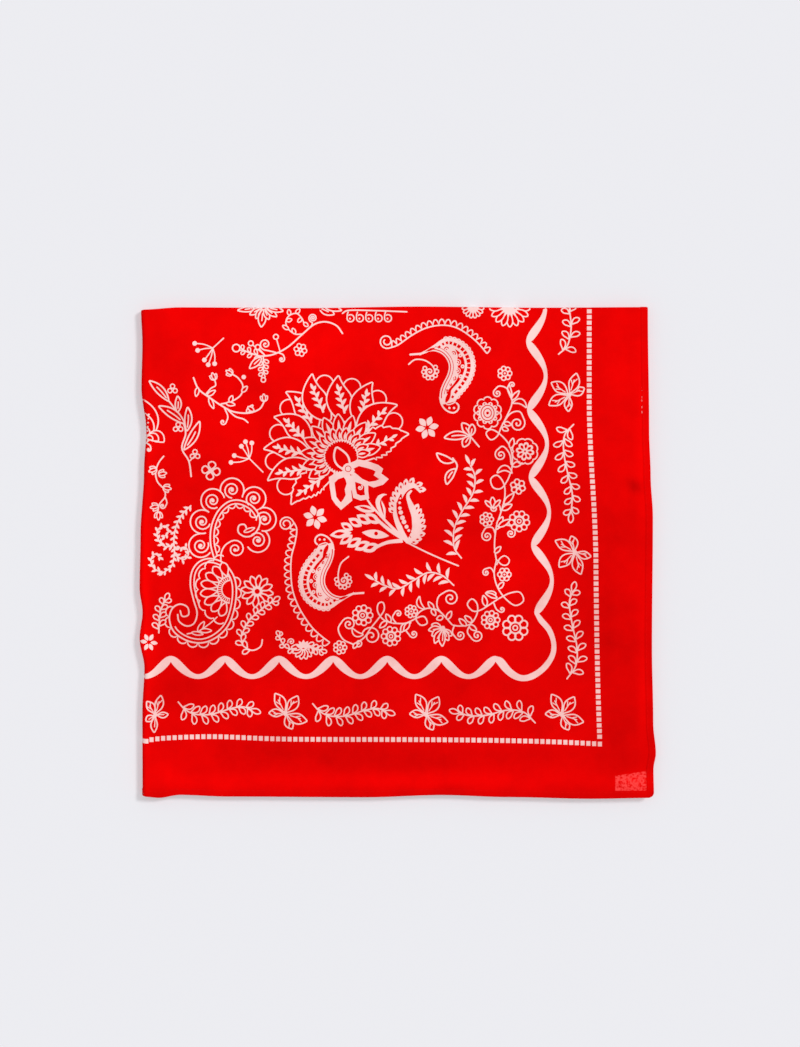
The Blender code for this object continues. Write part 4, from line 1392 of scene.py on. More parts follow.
@dataclass(frozen=True)
class FoldedSheet:
    """The whole cloth as one surface, folded at the top and then at the left.

    A fold is a half circle: past it the cloth comes back underneath. The top fold has one
    radius, and the left fold's radius is larger for the outer layers than for the inner.
    """

    width: float = 275.0
    depth: float = 262.0
    middle: float = 2.86
    left_radius: float = 1.66
    top_radius: float = 0.80
    nest: float = 1.1
    corner: float = 3.0
    trims: tuple[float, ...] = (0.0, 0.7, 2.0, 1.2)
    shares: tuple[float, ...] = (1.0, 0.6, 0.3, 0.0)
    front_scale: float = 0.9963
    front_left: float = 1.3
    front_top: float = 0.69
    sag: float = 0.75
    sag_in: tuple[float, float] = (30.0, 24.0)
    ripple_height: float = 0.045
    swell_height: float = 0.16

    def surface(self, a: Array, b: Array) -> Array:
        """Place the cloth's points.

        Args:
            a: Distances right of the left fold, negative on the half turned under.
            b: Distances down from the top fold, negative on the half behind.

        Returns:
            Points in millimetres in the part's frame, with one more axis of three.
        """
        quarter = math.pi / 2
        turn_b = np.clip(b / self.top_radius, -quarter, quarter)
        up_b = np.sin(turn_b)
        radius = self.left_radius + self.top_radius * up_b
        turn_a = np.clip(a / radius, -quarter, quarter)
        up_a = np.sin(turn_a)
        reach_a = radius * (1 - np.cos(turn_a)) + np.maximum(np.abs(a) - quarter * radius, 0)
        reach_b = self.top_radius * (1 - np.cos(turn_b))
        reach_b = reach_b + np.maximum(np.abs(b) - quarter * self.top_radius, 0)
        full_a = self.width - (quarter - 1) * radius
        full_b = self.depth - (quarter - 1) * self.top_radius
        weights = [(1 + i * up_a) * (1 + j * up_b) / 4 for i, j in ((1, 1), (1, -1), (-1, -1), (-1, 1))]
        trim = sum(w * t for w, t in zip(weights, self.trims))
        share = sum(w * s for w, s in zip(weights, self.shares))
        inner = self.left_radius + self.top_radius - radius + self.nest * (1 - up_b) / 2
        left = eased(LEFT_FOLD, reach_b) + inner
        right = eased(RIGHT_EDGE, reach_b) + trim
        top = eased(TOP_FOLD, reach_a)
        bottom = eased(BOTTOM_EDGE, reach_a) + trim
        x = left + reach_a / full_a * (self.width - left - right)
        y = top + reach_b / full_b * (self.depth - top - bottom)
        # The free corner is squeezed into a quarter disc.
        p = np.clip(1 - (self.width - right - x) / self.corner, 0, 1)
        q = np.clip(1 - (self.depth - bottom - y) / self.corner, 0, 1)
        shift_x = self.corner * p * (1 - np.sqrt(1 - q * q / 2))
        shift_y = self.corner * q * (1 - np.sqrt(1 - p * p / 2))
        x, y = x - shift_x, y - shift_y
        z = self.middle + up_a * radius + share * self.relief(x, y)
        return np.stack([x - self.width / 2, self.depth / 2 - y, z], axis=-1)

    def unfolded(self, place: Array) -> Array:
        """Carry places on the lying front back to the flat cloth.

        Args:
            place: Complex distances right and down from the front's top left corner.

        Returns:
            Complex distances from the folds, measured along the cloth.
        """
        radius = self.left_radius + self.top_radius
        x = place.real * self.front_scale + self.front_left
        y = place.imag * self.front_scale + self.front_top
        reach_a, reach_b = x, y
        for _ in range(3):
            left, right = eased(LEFT_FOLD, reach_b), eased(RIGHT_EDGE, reach_b)
            top, bottom = eased(TOP_FOLD, reach_a), eased(BOTTOM_EDGE, reach_a)
            full_a = self.width - (math.pi / 2 - 1) * radius
            full_b = self.depth - (math.pi / 2 - 1) * self.top_radius
            reach_a = (x - left) / (self.width - left - right) * full_a
            reach_b = (y - top) / (self.depth - top - bottom) * full_b
        flat = []
        for reach, bend_radius in ((reach_a, radius), (reach_b, self.top_radius)):
            part = np.clip(reach / bend_radius, 0, 1)
            extra = bend_radius * (np.arccos(1 - part) - part)
            flat.append(reach + extra)
        return flat[0] + 1j * flat[1]

    def bells(self, table: Sequence[Crease], x: Array, y: Array) -> Array:
        """Add up soft rises: each one is a bell curve along and across its own direction.

        Args:
            table: The rises.
            x: Distances right of the packet's left side.
            y: Distances down from its top.

        Returns:
            The sum at each place.
        """
        total = np.zeros_like(x)
        for crease in table:
            turn = math.radians(crease.turn)
            along = (x - crease.x) * math.cos(turn) + (y - crease.y) * math.sin(turn)
            across = (y - crease.y) * math.cos(turn) - (x - crease.x) * math.sin(turn)
            total += crease.rise * np.exp(-((along / crease.along) ** 2) - (across / crease.across) ** 2)
        return total

    def relief(self, x: Array, y: Array) -> Array:
        """Give the front's height: a sag away from the edges, creases and slight ripples."""
        in_x, in_y = self.sag_in
        rise = -self.sag * np.clip(x / in_x, 0, 1) * np.clip((self.width - x) / in_x, 0, 1)
        rise = rise * np.clip(y / in_y, 0, 1) * np.clip((self.depth - y) / in_y, 0, 1)
        rise = rise + self.bells(CREASES, x, y)
        ripple = np.sin(x / 9.1 + 1.3 * np.sin(y / 17.0)) * np.sin(y / 11.3 + 0.9 * np.sin(x / 21.0))
        swell = np.sin(x / 33.0 + y / 41.0 + 0.6) * np.sin(y / 29.0 - x / 67.0)
        return rise + self.ripple_height * ripple + self.swell_height * swell

    def place(self, a: Array, b: Array, lift: Array | float = 0.0) -> Array:
        """Place points lifted off the cloth's printed side.

        Args:
            a: Distances right of the left fold.
            b: Distances down from the top fold.
            lift: Distance off the surface, along its normal.

        Returns:
            Points in millimetres.
        """
        e = 0.05
        along_a = self.surface(a + e, b) - self.surface(a - e, b)
        along_b = self.surface(a, b + e) - self.surface(a, b - e)
        normal = np.cross(along_b, along_a)
        normal /= np.maximum(np.linalg.norm(normal, axis=-1, keepdims=True), 1e-12)
        return self.surface(a, b) + normal * np.asarray(lift)[..., None]


SHEET = FoldedSheet()


def lines_out(half: float, fold: float, step: float, edge: float = 6.0) -> Array:
    """Space lines across the cloth from one edge to the other, closer at the fold.

    Args:
        half: Distance from the fold to either edge.
        fold: Length of cloth in a quarter turn of the fold.
        step: Spacing away from the fold.
        edge: Width of the finer stretch along an edge.

    Returns:
        Signed distances from the fold.
    """
    near = np.linspace(0, fold * 1.15, 10)
    grow = near[-1] + np.array([0.7, 1.6, 2.9])
    flat = np.linspace(grow[-1] + step, half - edge, int((half - edge - grow[-1]) / step))
    rim = np.linspace(half - edge, half, 6)[1:]
    out = np.concatenate([near, grow, flat, rim])
    return np.concatenate([-out[:0:-1], out])


# ---------------------------------------------------------------- meshes


def add_mesh(name: str, points: Array, faces: Array, uv: Array, material: Material) -> Object:
    """Make an object from points in millimetres and an array of faces.

    Args:
        name: The object's name.
        points: One row of three for each vertex.
        faces: One row of vertex numbers for each face.
        uv: One row of two for each vertex, its place on the flat cloth in metres.
        material: Its material.

    Returns:
        The new object, smooth shaded, at the origin.
    """
    mesh = bpy.data.meshes.new(name)
    sides = faces.shape[1]
    mesh.vertices.add(len(points))
    mesh.vertices.foreach_set("co", (points * MM).astype(np.float32).ravel())
    mesh.loops.add(faces.size)
    mesh.loops.foreach_set("vertex_index", faces.astype(np.int32).ravel())
    mesh.polygons.add(len(faces))
    mesh.polygons.foreach_set("loop_start", np.arange(0, faces.size, sides, dtype=np.int32))
    mesh.polygons.foreach_set("use_smooth", np.ones(len(faces), dtype=bool))
    layer = mesh.uv_layers.new(name="cloth")
    layer.data.foreach_set("uv", uv[faces.ravel()].astype(np.float32).ravel())
    mesh.update(calc_edges=True)
    mesh.validate()
    # Each point's tone: painted light and shade, partly uneven dye, from the placed tones.
    x, y = points[:, 0] + SHEET.width / 2, SHEET.depth / 2 - points[:, 1]
    tone = mesh.attributes.new("tone", "FLOAT", "POINT")
    tone.data.foreach_set("value", SHEET.bells(PAINTED_SHADE_AND_DYE, x, y).astype(np.float32))
    mesh.materials.append(material)
    obj = bpy.data.objects.new(name, mesh)
    bpy.context.scene.collection.objects.link(obj)
    return obj


def grid_faces(rows: int, cols: int, wrap: bool = False) -> Array:
    """Number the quads of a grid of vertices, closing its columns into a tube if wrap."""
    index = np.arange(rows * cols).reshape(rows, cols)
    if wrap:
        index = np.concatenate([index, index[:, :1]], axis=1)
    quads = np.stack([index[:-1, :-1], index[1:, :-1], index[1:, 1:], index[:-1, 1:]], axis=-1)
    return quads.reshape(-1, 4)


def faced_out(piece: Object) -> Object:
    """Turn a closed piece's faces outwards if its volume comes out negative."""
    mesh = piece.data
    co = np.empty(len(mesh.vertices) * 3)
    mesh.vertices.foreach_get("co", co)
    corners = np.empty(len(mesh.loops), dtype=np.int32)
    mesh.loops.foreach_get("vertex_index", corners)
    triangle = co.reshape(-1, 3)[corners.reshape(-1, 3)]
    if np.linalg.det(triangle).sum() < 0:
        mesh.flip_normals()
    return piece


def add_tube(name: str, rings: Array, uv: Array, material: Material) -> Object:
    """Join rings of points into a tube, with a fan of triangles over each end.

    Args:
        name: The object's name.
        rings: Points in millimetres, by ring, by place round the ring and by axis.
        uv: One row of two for each point and then for the middles of the ends, in metres.
        material: Its material.

    Returns:
        The closed tube.
    """
    count, around = rings.shape[:2]
    total = count * around
    quads = grid_faces(count, around, wrap=True)
    pairs = np.stack([np.arange(around), np.roll(np.arange(around), -1)], axis=-1)
    first = np.concatenate([pairs[:, ::-1], np.full((around, 1), total)], axis=1)
    last = np.concatenate([pairs + total - around, np.full((around, 1), total + 1)], axis=1)
    triangles = np.concatenate([quads[:, [0, 1, 2]], quads[:, [0, 2, 3]], first, last])
    ends = np.stack([rings[0].mean(axis=0), rings[-1].mean(axis=0)])
    points = np.concatenate([rings.reshape(-1, 3), ends])
    return faced_out(add_mesh(name, points, triangles, uv, material))


def rounded(count: int, power_x: float, power_y: float) -> tuple[Array, Array]:
    """Give a loop of points between a square and a circle, of half width and height 1.

    Args:
        count: Number of points.
        power_x: Below 1, how much squarer than a circle it is sideways.
        power_y: The same up and down.

    Returns:
        The points' two coordinates.
    """
    turn = np.linspace(0, 2 * np.pi, count, endpoint=False)
    cos, sin = np.cos(turn), np.sin(turn)
    return np.sign(cos) * np.abs(cos) ** power_x, np.sign(sin) * np.abs(sin) ** power_y


# ---------------------------------------------------------------- finishes


Value = Socket | float | Sequence[float]


@dataclass(frozen=True)
class Graph:
    """A node tree, with short ways to add its nodes and join them."""

    tree: bpy.types.NodeTree

    def fill(self, node: bpy.types.Node, inputs: dict[str | int, Value]) -> None:
        """Join or set a node's inputs, given by name or number."""
        for key, value in inputs.items():
            if isinstance(value, Socket):
                self.tree.links.new(value, node.inputs[key])
            else:
                node.inputs[key].default_value = value

    def add(self, kind: str, inputs: dict[str | int, Value], **settings: object) -> bpy.types.Node:
        """Add a node.

        Args:
            kind: Its type, without the word ShaderNode.
            inputs: Sockets or values for its inputs.
            **settings: Its own properties.

        Returns:
            The new node.
        """
        node = self.tree.nodes.new("ShaderNode" + kind)
        for name, value in settings.items():
            setattr(node, name, value)
        self.fill(node, inputs)
        return node

    def math(self, operation: str, *values: Value) -> Socket:
        """Add a math node whose inputs are sockets or numbers, and give its output."""
        return self.add("Math", dict(enumerate(values)), operation=operation).outputs[0]

    def noise(self, place: Socket, scale: float, detail: float, roughness: float = 0.5) -> Socket:
        """Add soft noise.

        Args:
            place: Where it is read.
            scale: Number of its features to a metre.
            detail: Number of finer layers on it.
            roughness: How strong the finer layers are.

        Returns:
            Its output.
        """
        inputs = {"Vector": place, "Scale": scale, "Detail": detail, "Roughness": roughness}
        return self.add("TexNoise", inputs).outputs[0]

    def mix(self, factor: Value, first: Value, second: Value) -> Socket:
        """Mix two colours and give the result."""
        inputs = {"Factor": factor, "A": first, "B": second}
        return self.add("Mix", inputs, data_type="RGBA").outputs["Result"]


def weave_group() -> bpy.types.NodeTree:
    """Build the plain weave: threads over and under, with slubs, from a place in metres.

    Its height is the larger of two rows of rounded threads, each lifted where it passes over.
    """
    tree = bpy.data.node_groups.new("plain_weave", "ShaderNodeTree")
    # The threads are counted to a metre.
    for name, way, kind, value in (
        ("Place", "INPUT", "Vector", None),
        ("Threads", "INPUT", "Float", 2800.0),
        ("Slub", "INPUT", "Float", 0.3),
        ("Height", "OUTPUT", "Float", 0.0),
        ("Tone", "OUTPUT", "Float", 0.0),
    ):
        socket = tree.interface.new_socket(name=name, in_out=way, socket_type="NodeSocket" + kind)
        if value is not None:
            socket.default_value = value
    source, sink = tree.nodes.new("NodeGroupInput"), tree.nodes.new("NodeGroupOutput")
    place, threads, slub = (source.outputs[name] for name in ("Place", "Threads", "Slub"))
    graph = Graph(tree)
    split = graph.add("SeparateXYZ", {0: place})
    u, v = (graph.math("MULTIPLY", split.outputs[axis], threads) for axis in (0, 1))
    warp, weft = (
        graph.math("ABSOLUTE", graph.math("SINE", graph.math("MULTIPLY", run, math.pi))) for run in (u, v)
    )
    cell = graph.math("ADD", graph.math("FLOOR", u), graph.math("FLOOR", v))
    over = graph.math("FLOORED_MODULO", cell, 2.0)
    under = graph.math("SUBTRACT", 1.0, over)
    lifted = [
        graph.math("MULTIPLY", row, graph.math("MULTIPLY_ADD", on_top, 0.6, 0.4))
        for row, on_top in ((warp, over), (weft, under))
    ]
    height = graph.math("MAXIMUM", *lifted)
    slubs = graph.math("MULTIPLY", graph.math("SUBTRACT", graph.noise(place, 420.0, 3.0), 0.5), slub)
    # The threads' tone is painted shade: raised threads lighter and the hollows between them darker, with
    # the slubs added.
    tone = graph.math("ADD", graph.math("MULTIPLY", height, 0.5), slubs)
    graph.fill(sink, {"Height": graph.math("ADD", height, slubs), "Tone": tone})
    return tree


@dataclass(frozen=True)
class Finish:
    """A woven cotton finish: its colour, the darker tone of its hollows, and its surface.

    Its clouds are rows of features to a metre and strength, and its fall is painted light: the
    change of tone for a metre along each axis, lighter towards the top and a little to the left.
    """

    name: str
    colour: tuple[float, float, float]
    hollow: tuple[float, float, float]
    roughness: float = 0.9
    specular: float = 0.03
    base: float = 0.50
    # How strongly the dye clouds, the placed tones of painted light and shade and the fall of painted light
    # show.
    uneven: float = 1.0
    # How much the weave's painted shade and slubs show in the colour.
    weave: float = 0.10
    bump: float = 0.00006
    clouds: tuple[tuple[float, float], ...] = ((24.0, 0.75), (110.0, 0.45))
    fall: tuple[float, float, float] = (-0.3, 0.9, 0.0)
    label_shows: bool = False
    label_skew: float = 0.16
    label_soft: float = 0.0006
    label_colour: tuple[float, ...] = (1.0, 0.062, 0.058, 1)

    def material(self, weave: bpy.types.NodeTree) -> Material:
        """Build the material: weave, uneven dye, painted light and shade and, on the front, the label
        showing through.
        """
        material = bpy.data.materials.new(self.name)
        material.use_nodes = True
        graph = Graph(material.node_tree)
        place = graph.add("UVMap", {}, uv_map="cloth").outputs[0]
        threads = graph.add("Group", {"Place": place}, node_tree=weave).outputs
        tone = self._tone(graph, threads["Tone"])
        colour = graph.mix(tone, (*self.hollow, 1), (*self.colour, 1))
        if self.label_shows:
            colour = self._label(graph, colour)
        relief = {"Strength": 0.6, "Distance": self.bump, "Height": threads["Height"]}
        surface = {
            "Base Color": colour,
            "Roughness": self.roughness,
            "Specular IOR Level": self.specular,
            "Normal": graph.add("Bump", relief).outputs[0],
        }
        graph.fill(graph.tree.nodes["Principled BSDF"], surface)
        return material

    def _tone(self, graph: Graph, weave_tone: Socket) -> Socket:
        """Mix the threads' tone with broad and small clouds of dye, placed tones of painted light and
        shade, and a painted fall of light.

        Args:
            graph: The material's nodes.
            weave_tone: The threads' tone, painted darker in the weave's hollows, with slubs.

        Returns:
            The mixed tone, from 0 in the hollows to 1.
        """
        objects = graph.add("TexCoord", {}).outputs["Object"]
        # The placed tones: painted light and shade, partly uneven dye.
        placed = graph.add("Attribute", {}, attribute_name="tone").outputs["Fac"]
        # The fall: painted light, lighter towards the top and a little to the left.
        fall = graph.add("VectorMath", {0: objects, 1: self.fall}, operation="DOT_PRODUCT")
        terms = (
            *((graph.noise(objects, scale, 3.0, 0.55), share * self.uneven) for scale,
              share in self.clouds),
            (placed, self.uneven),
            (fall.outputs["Value"], self.uneven),
            (weave_tone, self.weave),
        )
        total = self.base - 0.6 * self.uneven
        for socket, weight in terms:
            total = graph.math("MULTIPLY_ADD", socket, weight, total)
        return graph.add("Clamp", {0: total}).outputs[0]

    def _label(self, graph: Graph, colour: Socket) -> Socket:
        """Pale the cloth over the label, in a slightly skewed patch with broken speckles.

        Args:
            graph: The material's nodes.
            colour: The cloth's colour.

        Returns:
            The colour with the patch in it.
        """
        low, high = ((np.array(corner) + LABEL_SHIFT).tolist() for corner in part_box("care_label"))
        objects = graph.add("TexCoord", {}).outputs["Object"]
        x, y, z = graph.add("SeparateXYZ", {0: objects}).outputs

        def step(socket: Socket, start: float, end: float) -> Socket:
            """A soft step from 0 at start to 1 at end."""
            inputs = {"Value": socket, "From Min": start, "From Max": end}
            return graph.add("MapRange", inputs, interpolation_type="SMOOTHSTEP").outputs[0]

        skewed = graph.math("MULTIPLY_ADD", x, -self.label_skew, y)
        top = high[1] - self.label_skew * high[0]
        soft = self.label_soft
        total = step(x, low[0] - soft, low[0])
        for mask in (
            step(x, high[0] + soft, high[0]),
            step(y, low[1] - soft, low[1]),
            step(skewed, top + soft, top),
            step(z, high[2], high[2] + 0.0004),
            step(graph.noise(objects, 900.0, 2.0), 0.30, 0.62),
        ):
            total = graph.math("MULTIPLY", total, mask)
        return graph.mix(graph.math("MULTIPLY", total, 0.9), colour, self.label_colour)


RED_COTTON = Finish("red_cotton", (0.96, 0.0, 0.0), (0.55, 0.0, 0.0), label_shows=True)
HEM_COTTON = Finish("hem_cotton", (0.93, 0.0, 0.0), (0.53, 0.0, 0.0))
PALE_INK = Finish(
    "pale_ink", (0.99, 0.69, 0.665), (0.78, 0.35, 0.325), base=0.52, uneven=1.7, weave=0.5, bump=0.00004
)
RED_THREAD = Finish("red_thread", (0.93, 0.004, 0.004), (0.60, 0.0, 0.0), uneven=0.6)
LABEL_SATIN = Finish("label_satin", (0.88, 0.84, 0.80), (0.75, 0.70, 0.66), 0.45, 0.3, uneven=0.2)


# ---------------------------------------------------------------- pieces


@dataclass
class Cloth:
    """The whole folded sheet, one mesh."""

    step: float = 2.3
    tuck: float = 1.2

    def build(self, material: Material) -> Object:
        """Sample the folded surface on a grid that is finer at the folds and edges."""
        quarter = math.pi / 2
        outer = (SHEET.left_radius + SHEET.top_radius) * quarter
        a = lines_out(SHEET.width - self.tuck, outer, self.step)
        b = lines_out(SHEET.depth - self.tuck, SHEET.top_radius * quarter, self.step)
        grid_a, grid_b = np.meshgrid(a, b)
        points = SHEET.surface(grid_a, grid_b).reshape(-1, 3)
        uv = np.stack([grid_a.ravel(), grid_b.ravel()], axis=-1) * MM
        cloth = add_mesh("printed_cloth", points, grid_faces(len(b), len(a)), uv, material)
        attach(cloth, "root")
        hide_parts("front_quarter", "hidden_layers")
        return cloth


@dataclass
class Ink:
    """The printed shapes, as a skin just off the cloth."""

    lift: float = 0.055
    lattice: float = 2.2
    fine: float = 0.5
    fine_reach: float = 6.5
    merge: float = 1e-4
    rim: float = 5.0

    def flat(self, pen: Pen) -> tuple[Array, Array]:
        """Join all the strips into one flat skin of triangles with no overlaps.

        The strips' edges cut each other, and each triangle goes by the last strip over it.

        Args:
            pen: The drawn strips.

        Returns:
            Complex points and rows of three point numbers, for the printed triangles.
        """
        strips = [(SHEET.unfolded(left), SHEET.unfolded(right), ink) for left, right, ink in pen.strips]
        outlines = [np.append(left, right[::-1]) for left, right, _ in strips]
        counts = np.array([len(outline) for outline in outlines])
        after = np.arange(counts.sum()) + 1
        after[np.cumsum(counts) - 1] -= counts
        across, down = (np.arange(0, side, self.lattice) for side in (SHEET.width, SHEET.depth))
        close = np.arange(self.fine, self.fine_reach, self.fine)
        grids = map(np.meshgrid, (across, close, across), (down, down, close))
        lattices = [(x + 1j * y).ravel() for x, y in grids]
        folds = [0, SHEET.width, 1j * SHEET.depth]
        points = np.concatenate([*outlines, folds, *lattices])
        edges = np.stack([np.arange(len(after)), after], axis=-1)
        edges = np.concatenate([edges, len(after) + np.array([[0, 1], [0, 2]])])
        vectors = list(map(Vector, np.stack([points.real, points.imag], axis=-1).tolist()))
        result = delaunay_2d_cdt(vectors, edges.tolist(), [], 0, self.merge, False)
        flat = np.array([complex(*vertex) for vertex in result[0]])
        triangles = np.array(result[2])
        middle = flat[triangles].mean(axis=1)
        inside = (middle.real > 0) & (middle.imag > 0)
        inside &= (middle.real < SHEET.width) & (middle.imag < SHEET.depth)
        triangles, middle = triangles[inside], middle[inside]
        order = np.argsort(middle.real)
        triangles, middle = triangles[order], middle[order]
        return flat, triangles[self.covered(strips, middle)]

    def covered(self, strips: Sequence[tuple[Array, Array, bool]], places: Array) -> Array:
        """Say which places carry ink: the last strip over a place decides.

        Args:
            strips: The strips on the flat cloth.
            places: Complex points, sorted by their real parts.

        Returns:
            True for each place with ink.
        """
        printed = np.zeros(len(places), dtype=bool)
        for left, right, ink in strips:
            corners = np.concatenate([left, right])
            first = np.searchsorted(places.real, corners.real.min())
            last = np.searchsorted(places.real, corners.real.max())
            near = places[first:last]
            row = (near.imag > corners.imag.min()) & (near.imag < corners.imag.max())
            near = near[row][:, None]
            hit = np.zeros(len(near), dtype=bool)
            for a, b, c in ((left[:-1], left[1:], right[:-1]), (left[1:], right[1:], right[:-1])):
                sides = [((q - p).conj() * (near - p)).imag for p, q in ((a, b), (b, c), (c, a))]
                low, high = np.minimum.reduce(sides), np.maximum.reduce(sides)
                hit |= ((low > 0) | (high < 0)).any(axis=1)
            printed[np.arange(first, last)[row][hit]] = ink
        return printed

    def build(self, pen: Pen, material: Material) -> list[Object]:
        """Lay the flat skin on the front, the underside and the backs of the top folds.

        Args:
            pen: The drawn strips.
            material: The ink.

        Returns:
            The print of the front and the print of the underside.
        """
        flat, triangles = self.flat(pen)
        near = flat[triangles].imag.max(axis=1) < self.rim
        front = ((triangles, 1, 1), (triangles[near], 1, -1))
        under = ((triangles, -1, 1), (triangles[near], -1, -1))
        return [
            self._piece("front_print", flat, front, material),
            self._piece("underside_print", flat, under, material),
        ]

    def _piece(
        self,
        name: str,
        flat: Array,
        copies: Sequence[tuple[Array, int, int]],
        material: Material,
    ) -> Object:
        """Mirror triangles into one or two quarters and lift them off the cloth there.

        Args:
            name: The piece's name.
            flat: Complex points of the skin.
            copies: Triangles, and the signs of both of their coordinates in that quarter.
            material: The ink.

        Returns:
            The piece.
        """
        places, faces, base = [], [], 0
        for triangles, side_a, side_b in copies:
            used, index = np.unique(triangles, return_inverse=True)
            index = index.reshape(-1, 3)
            place = flat[used]
            places.append(side_a * place.real + 1j * side_b * place.imag)
            ordered = index if side_a * side_b < 0 else index[:, ::-1]
            faces.append(ordered + base)
            base += len(used)
        place = np.concatenate(places)
        points = SHEET.place(place.real, place.imag, self.lift)
        uv = np.stack([place.real, place.imag], axis=-1) * MM
        piece = add_mesh(name, points, np.concatenate(faces), uv, material)
        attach(piece, "root")
        return piece


@dataclass
class Hems:
    """The four turned hems, each one carried along its own edge and round the folds."""

    width: float = 4.0
    above: float = 0.16
    below: float = 0.50
    stitch_in: float = 3.1
    stitch_pitch: float = 2.9
    stitch_length: float = 1.9
    stitch_half: float = 0.2
    stitch_rise: float = 0.12
    stitch_margin: float = 5.0

    def build(self, material: Material) -> list[Object]:
        """Carry a flattened loop along each edge of the cloth."""
        pieces = []
        edges = (
            ("front_bottom_hem", False, 1, "bottom_hem"),
            ("front_right_hem", True, 1, "right_hem"),
            ("back_bottom_hem", False, -1, ""),
            ("back_left_hem", True, -1, ""),
        )
        for name, upright, side, node in edges:
            piece = self._hem(name, upright, side, material)
            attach(piece, "root")
            if node:
                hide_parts(node)
            pieces.append(piece)
        return pieces

    def _hem(self, name: str, upright: bool, side: int, material: Material) -> Object:
        """Carry a rounded rectangle, across the edge and off the cloth, along one edge.

        Args:
            name: The piece's name.
            upright: Whether the edge runs down the cloth, and not across it.
            side: 1 for the right or bottom edge of the cut, and -1 for the left or top one.
            material: The hem's material.

        Returns:
            The closed hem.
        """
        half, fold = (SHEET.depth, SHEET.top_radius) if upright else (SHEET.width, SHEET.left_radius)
        reach = SHEET.width if upright else SHEET.depth
        run = lines_out(half - 0.3, (fold + 0.8) * math.pi / 2, 2.3)
        across, lift = rounded(16, 0.45, 0.7)
        centre, thick = (self.above - self.below) / 2, (self.above + self.below) / 2
        lift = centre + lift * thick
        out = side * (reach - self.width / 2 + across * self.width / 2)
        along, out = np.meshgrid(run, out, indexing="ij")
        lift = np.broadcast_to(lift, along.shape)
        a, b = (out, along) if upright else (along, out)
        flat = np.stack([a.ravel(), b.ravel()], axis=-1)
        return add_tube(name, SHEET.place(a, b, lift), np.concatenate([flat, flat[:2]]) * MM, material)

    def stitches(self, material: Material) -> Object:
        """Join all the stitches of the four hems: small low domes end to end."""
        places = []
        for upright, half, reach in ((True, SHEET.depth, SHEET.width), (False, SHEET.width, SHEET.depth)):
            marks = np.arange(-half + self.stitch_margin, half - self.stitch_margin, self.stitch_pitch)
            for side in (-1, 1):
                out = side * (reach - self.stitch_in)
                places.append(out + 1j * marks if upright else marks + 1j * out)
        upright = np.concatenate([np.full(len(p), n < 2) for n, p in enumerate(places)])
        centre = np.concatenate(places)
        u = np.linspace(-1, 1, 5)
        v = np.linspace(-1, 1, 3)
        grid_u, grid_v = (g.ravel() for g in np.meshgrid(u, v, indexing="ij"))
        long = grid_u * self.stitch_length / 2
        wide = grid_v * self.stitch_half * np.sqrt(1 - 0.75 * grid_u**2)
        lift = 0.03 + self.stitch_rise * (1 - grid_v**2) * (1 - 0.8 * grid_u**4) + self.above
        shape = np.where(upright[:, None], wide + 1j * long, long + 1j * wide)
        place = centre[:, None] + shape
        points = SHEET.place(place.real, place.imag, np.broadcast_to(lift, place.shape))
        count = place.shape[1]
        faces = grid_faces(5, 3)[None] + (np.arange(len(centre)) * count)[:, None, None]
        uv = np.stack([place.real.ravel(), place.imag.ravel()], axis=-1) * MM
        piece = add_mesh("hem_stitches", points.reshape(-1, 3), faces.reshape(-1, 4), uv, material)
        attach(piece, "root")
        return piece


@dataclass
class CareLabel:
    """The blank woven label under the front layer."""

    thick: float = 0.3
    below: float = 0.3
    bow: float = 0.1

    def build(self, material: Material) -> Object:
        """Make a thin tape with rounded edges, slightly bowed, where the solid lies."""
        low, high = ((np.array(corner) + LABEL_SHIFT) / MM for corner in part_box("care_label"))
        x = np.linspace(low[0], high[0], 18)
        y, z = rounded(20, 0.3, 0.6)
        y = (low[1] + high[1]) / 2 + y * (high[1] - low[1]) / 2
        grid_x, grid_y = np.meshgrid(x, y, indexing="ij")
        bow = self.bow * np.sin((grid_x - low[0]) / 5.0)
        grid_z = high[2] - self.below + bow + np.broadcast_to(z * self.thick / 2, grid_x.shape)
        rings = np.stack([grid_x, grid_y, grid_z], axis=-1)
        middles = np.stack([rings[0].mean(axis=0), rings[-1].mean(axis=0)])
        uv = np.concatenate([rings.reshape(-1, 3), middles])[:, :2] * MM
        piece = add_tube("care_label_tape", rings, uv, material)
        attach(piece, "root")
        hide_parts("care_label")
        return piece


class Sun(NamedTuple):
    """A distant light: its name, strength, spread in degrees and the way towards it."""

    name: str
    energy: float
    spread: float
    way: tuple[float, float, float]


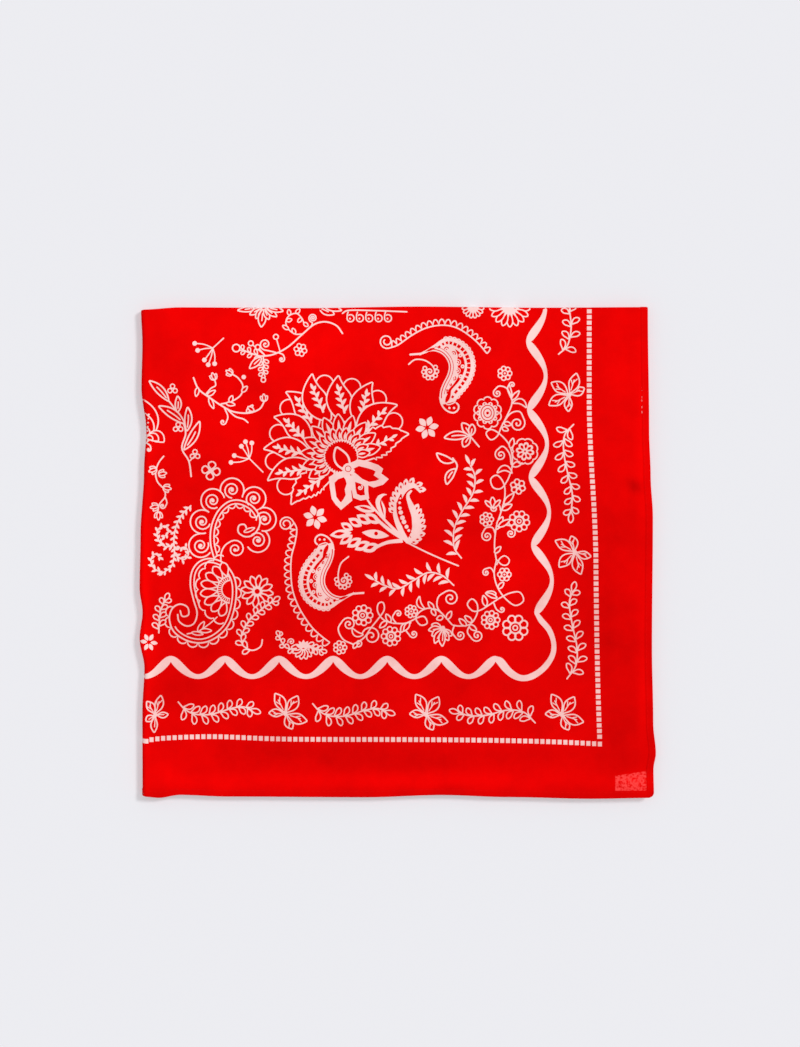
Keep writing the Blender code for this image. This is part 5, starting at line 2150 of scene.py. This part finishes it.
@dataclass(frozen=True)
class Studio:
    """The floor, the soft light and the camera straight above."""

    lens: float = 100.0
    sensor: float = 36.0
    view_height: float = 0.5590
    offset: tuple[float, float] = (0.0013, 0.0155)
    suns: tuple[Sun, ...] = (
        Sun("key", 1.23, 13, (1.0, 0.58, 1.13)),
        Sun("overhead", 1.42, 9, (0.05, 0.04, 1.0)),
    )
    sky: float = 0.33
    floor_colour: tuple[float, ...] = (0.80, 0.80, 0.835, 1)
    floor_half: float = 6000.0

    def build(self) -> None:
        """Set up the floor, a soft key from the upper right, an even sky and the camera."""
        scene = bpy.context.scene
        scene.view_settings.view_transform = "Standard"
        self._floor()
        for sun in self.suns:
            lamp = bpy.data.lights.new(sun.name, "SUN")
            lamp.energy = sun.energy
            lamp.angle = math.radians(sun.spread)
            light = bpy.data.objects.new(sun.name, lamp)
            light.rotation_euler = Vector(sun.way).to_track_quat("Z", "Y").to_euler()
            light.location = sun.way
            scene.collection.objects.link(light)
        world = bpy.data.worlds.new("sky")
        world.use_nodes = True
        graph = Graph(world.node_tree)
        graph.fill(graph.tree.nodes["Background"], {"Color": (1.0, 1.0, 1.0, 1), "Strength": self.sky})
        scene.world = world
        camera = bpy.data.cameras.new("camera")
        camera.lens = self.lens
        camera.sensor_width = self.sensor
        camera.clip_end = 20
        view = bpy.data.objects.new("camera", camera)
        view.location = (*self.offset, self.view_height * self.lens / self.sensor)
        scene.collection.objects.link(view)
        scene.camera = view

    def _floor(self) -> None:
        """Make the pale floor."""
        material = bpy.data.materials.new("floor")
        material.use_nodes = True
        graph = Graph(material.node_tree)
        surface = {"Base Color": self.floor_colour, "Roughness": 1.0, "Specular IOR Level": 0.0}
        graph.fill(graph.tree.nodes["Principled BSDF"], surface)
        size = self.floor_half
        points = np.array([[-size, -size, 0], [size, -size, 0], [size, size, 0], [-size, size, 0]])
        floor = add_mesh("floor", points, np.array([[0, 1, 2, 3]]), points[:, :2] * MM, material)


def main() -> None:
    logging.basicConfig(level=logging.INFO, format="%(name)s: %(message)s")
    Studio().build()
    weave = weave_group()
    cloth = Cloth().build(RED_COTTON.material(weave))
    log.info("%s: %d faces", cloth.name, len(cloth.data.polygons))
    pen = Print().draw()
    prints = Ink().build(pen, PALE_INK.material(weave))
    hems = Hems()
    bands = hems.build(HEM_COTTON.material(weave))
    stitches = hems.stitches(RED_THREAD.material(weave))
    label = CareLabel().build(LABEL_SATIN.material(weave))
    for piece in (*prints, *bands, stitches, label):
        log.info("%s: %d faces", piece.name, len(piece.data.polygons))


if __name__ == "__main__":
    main()
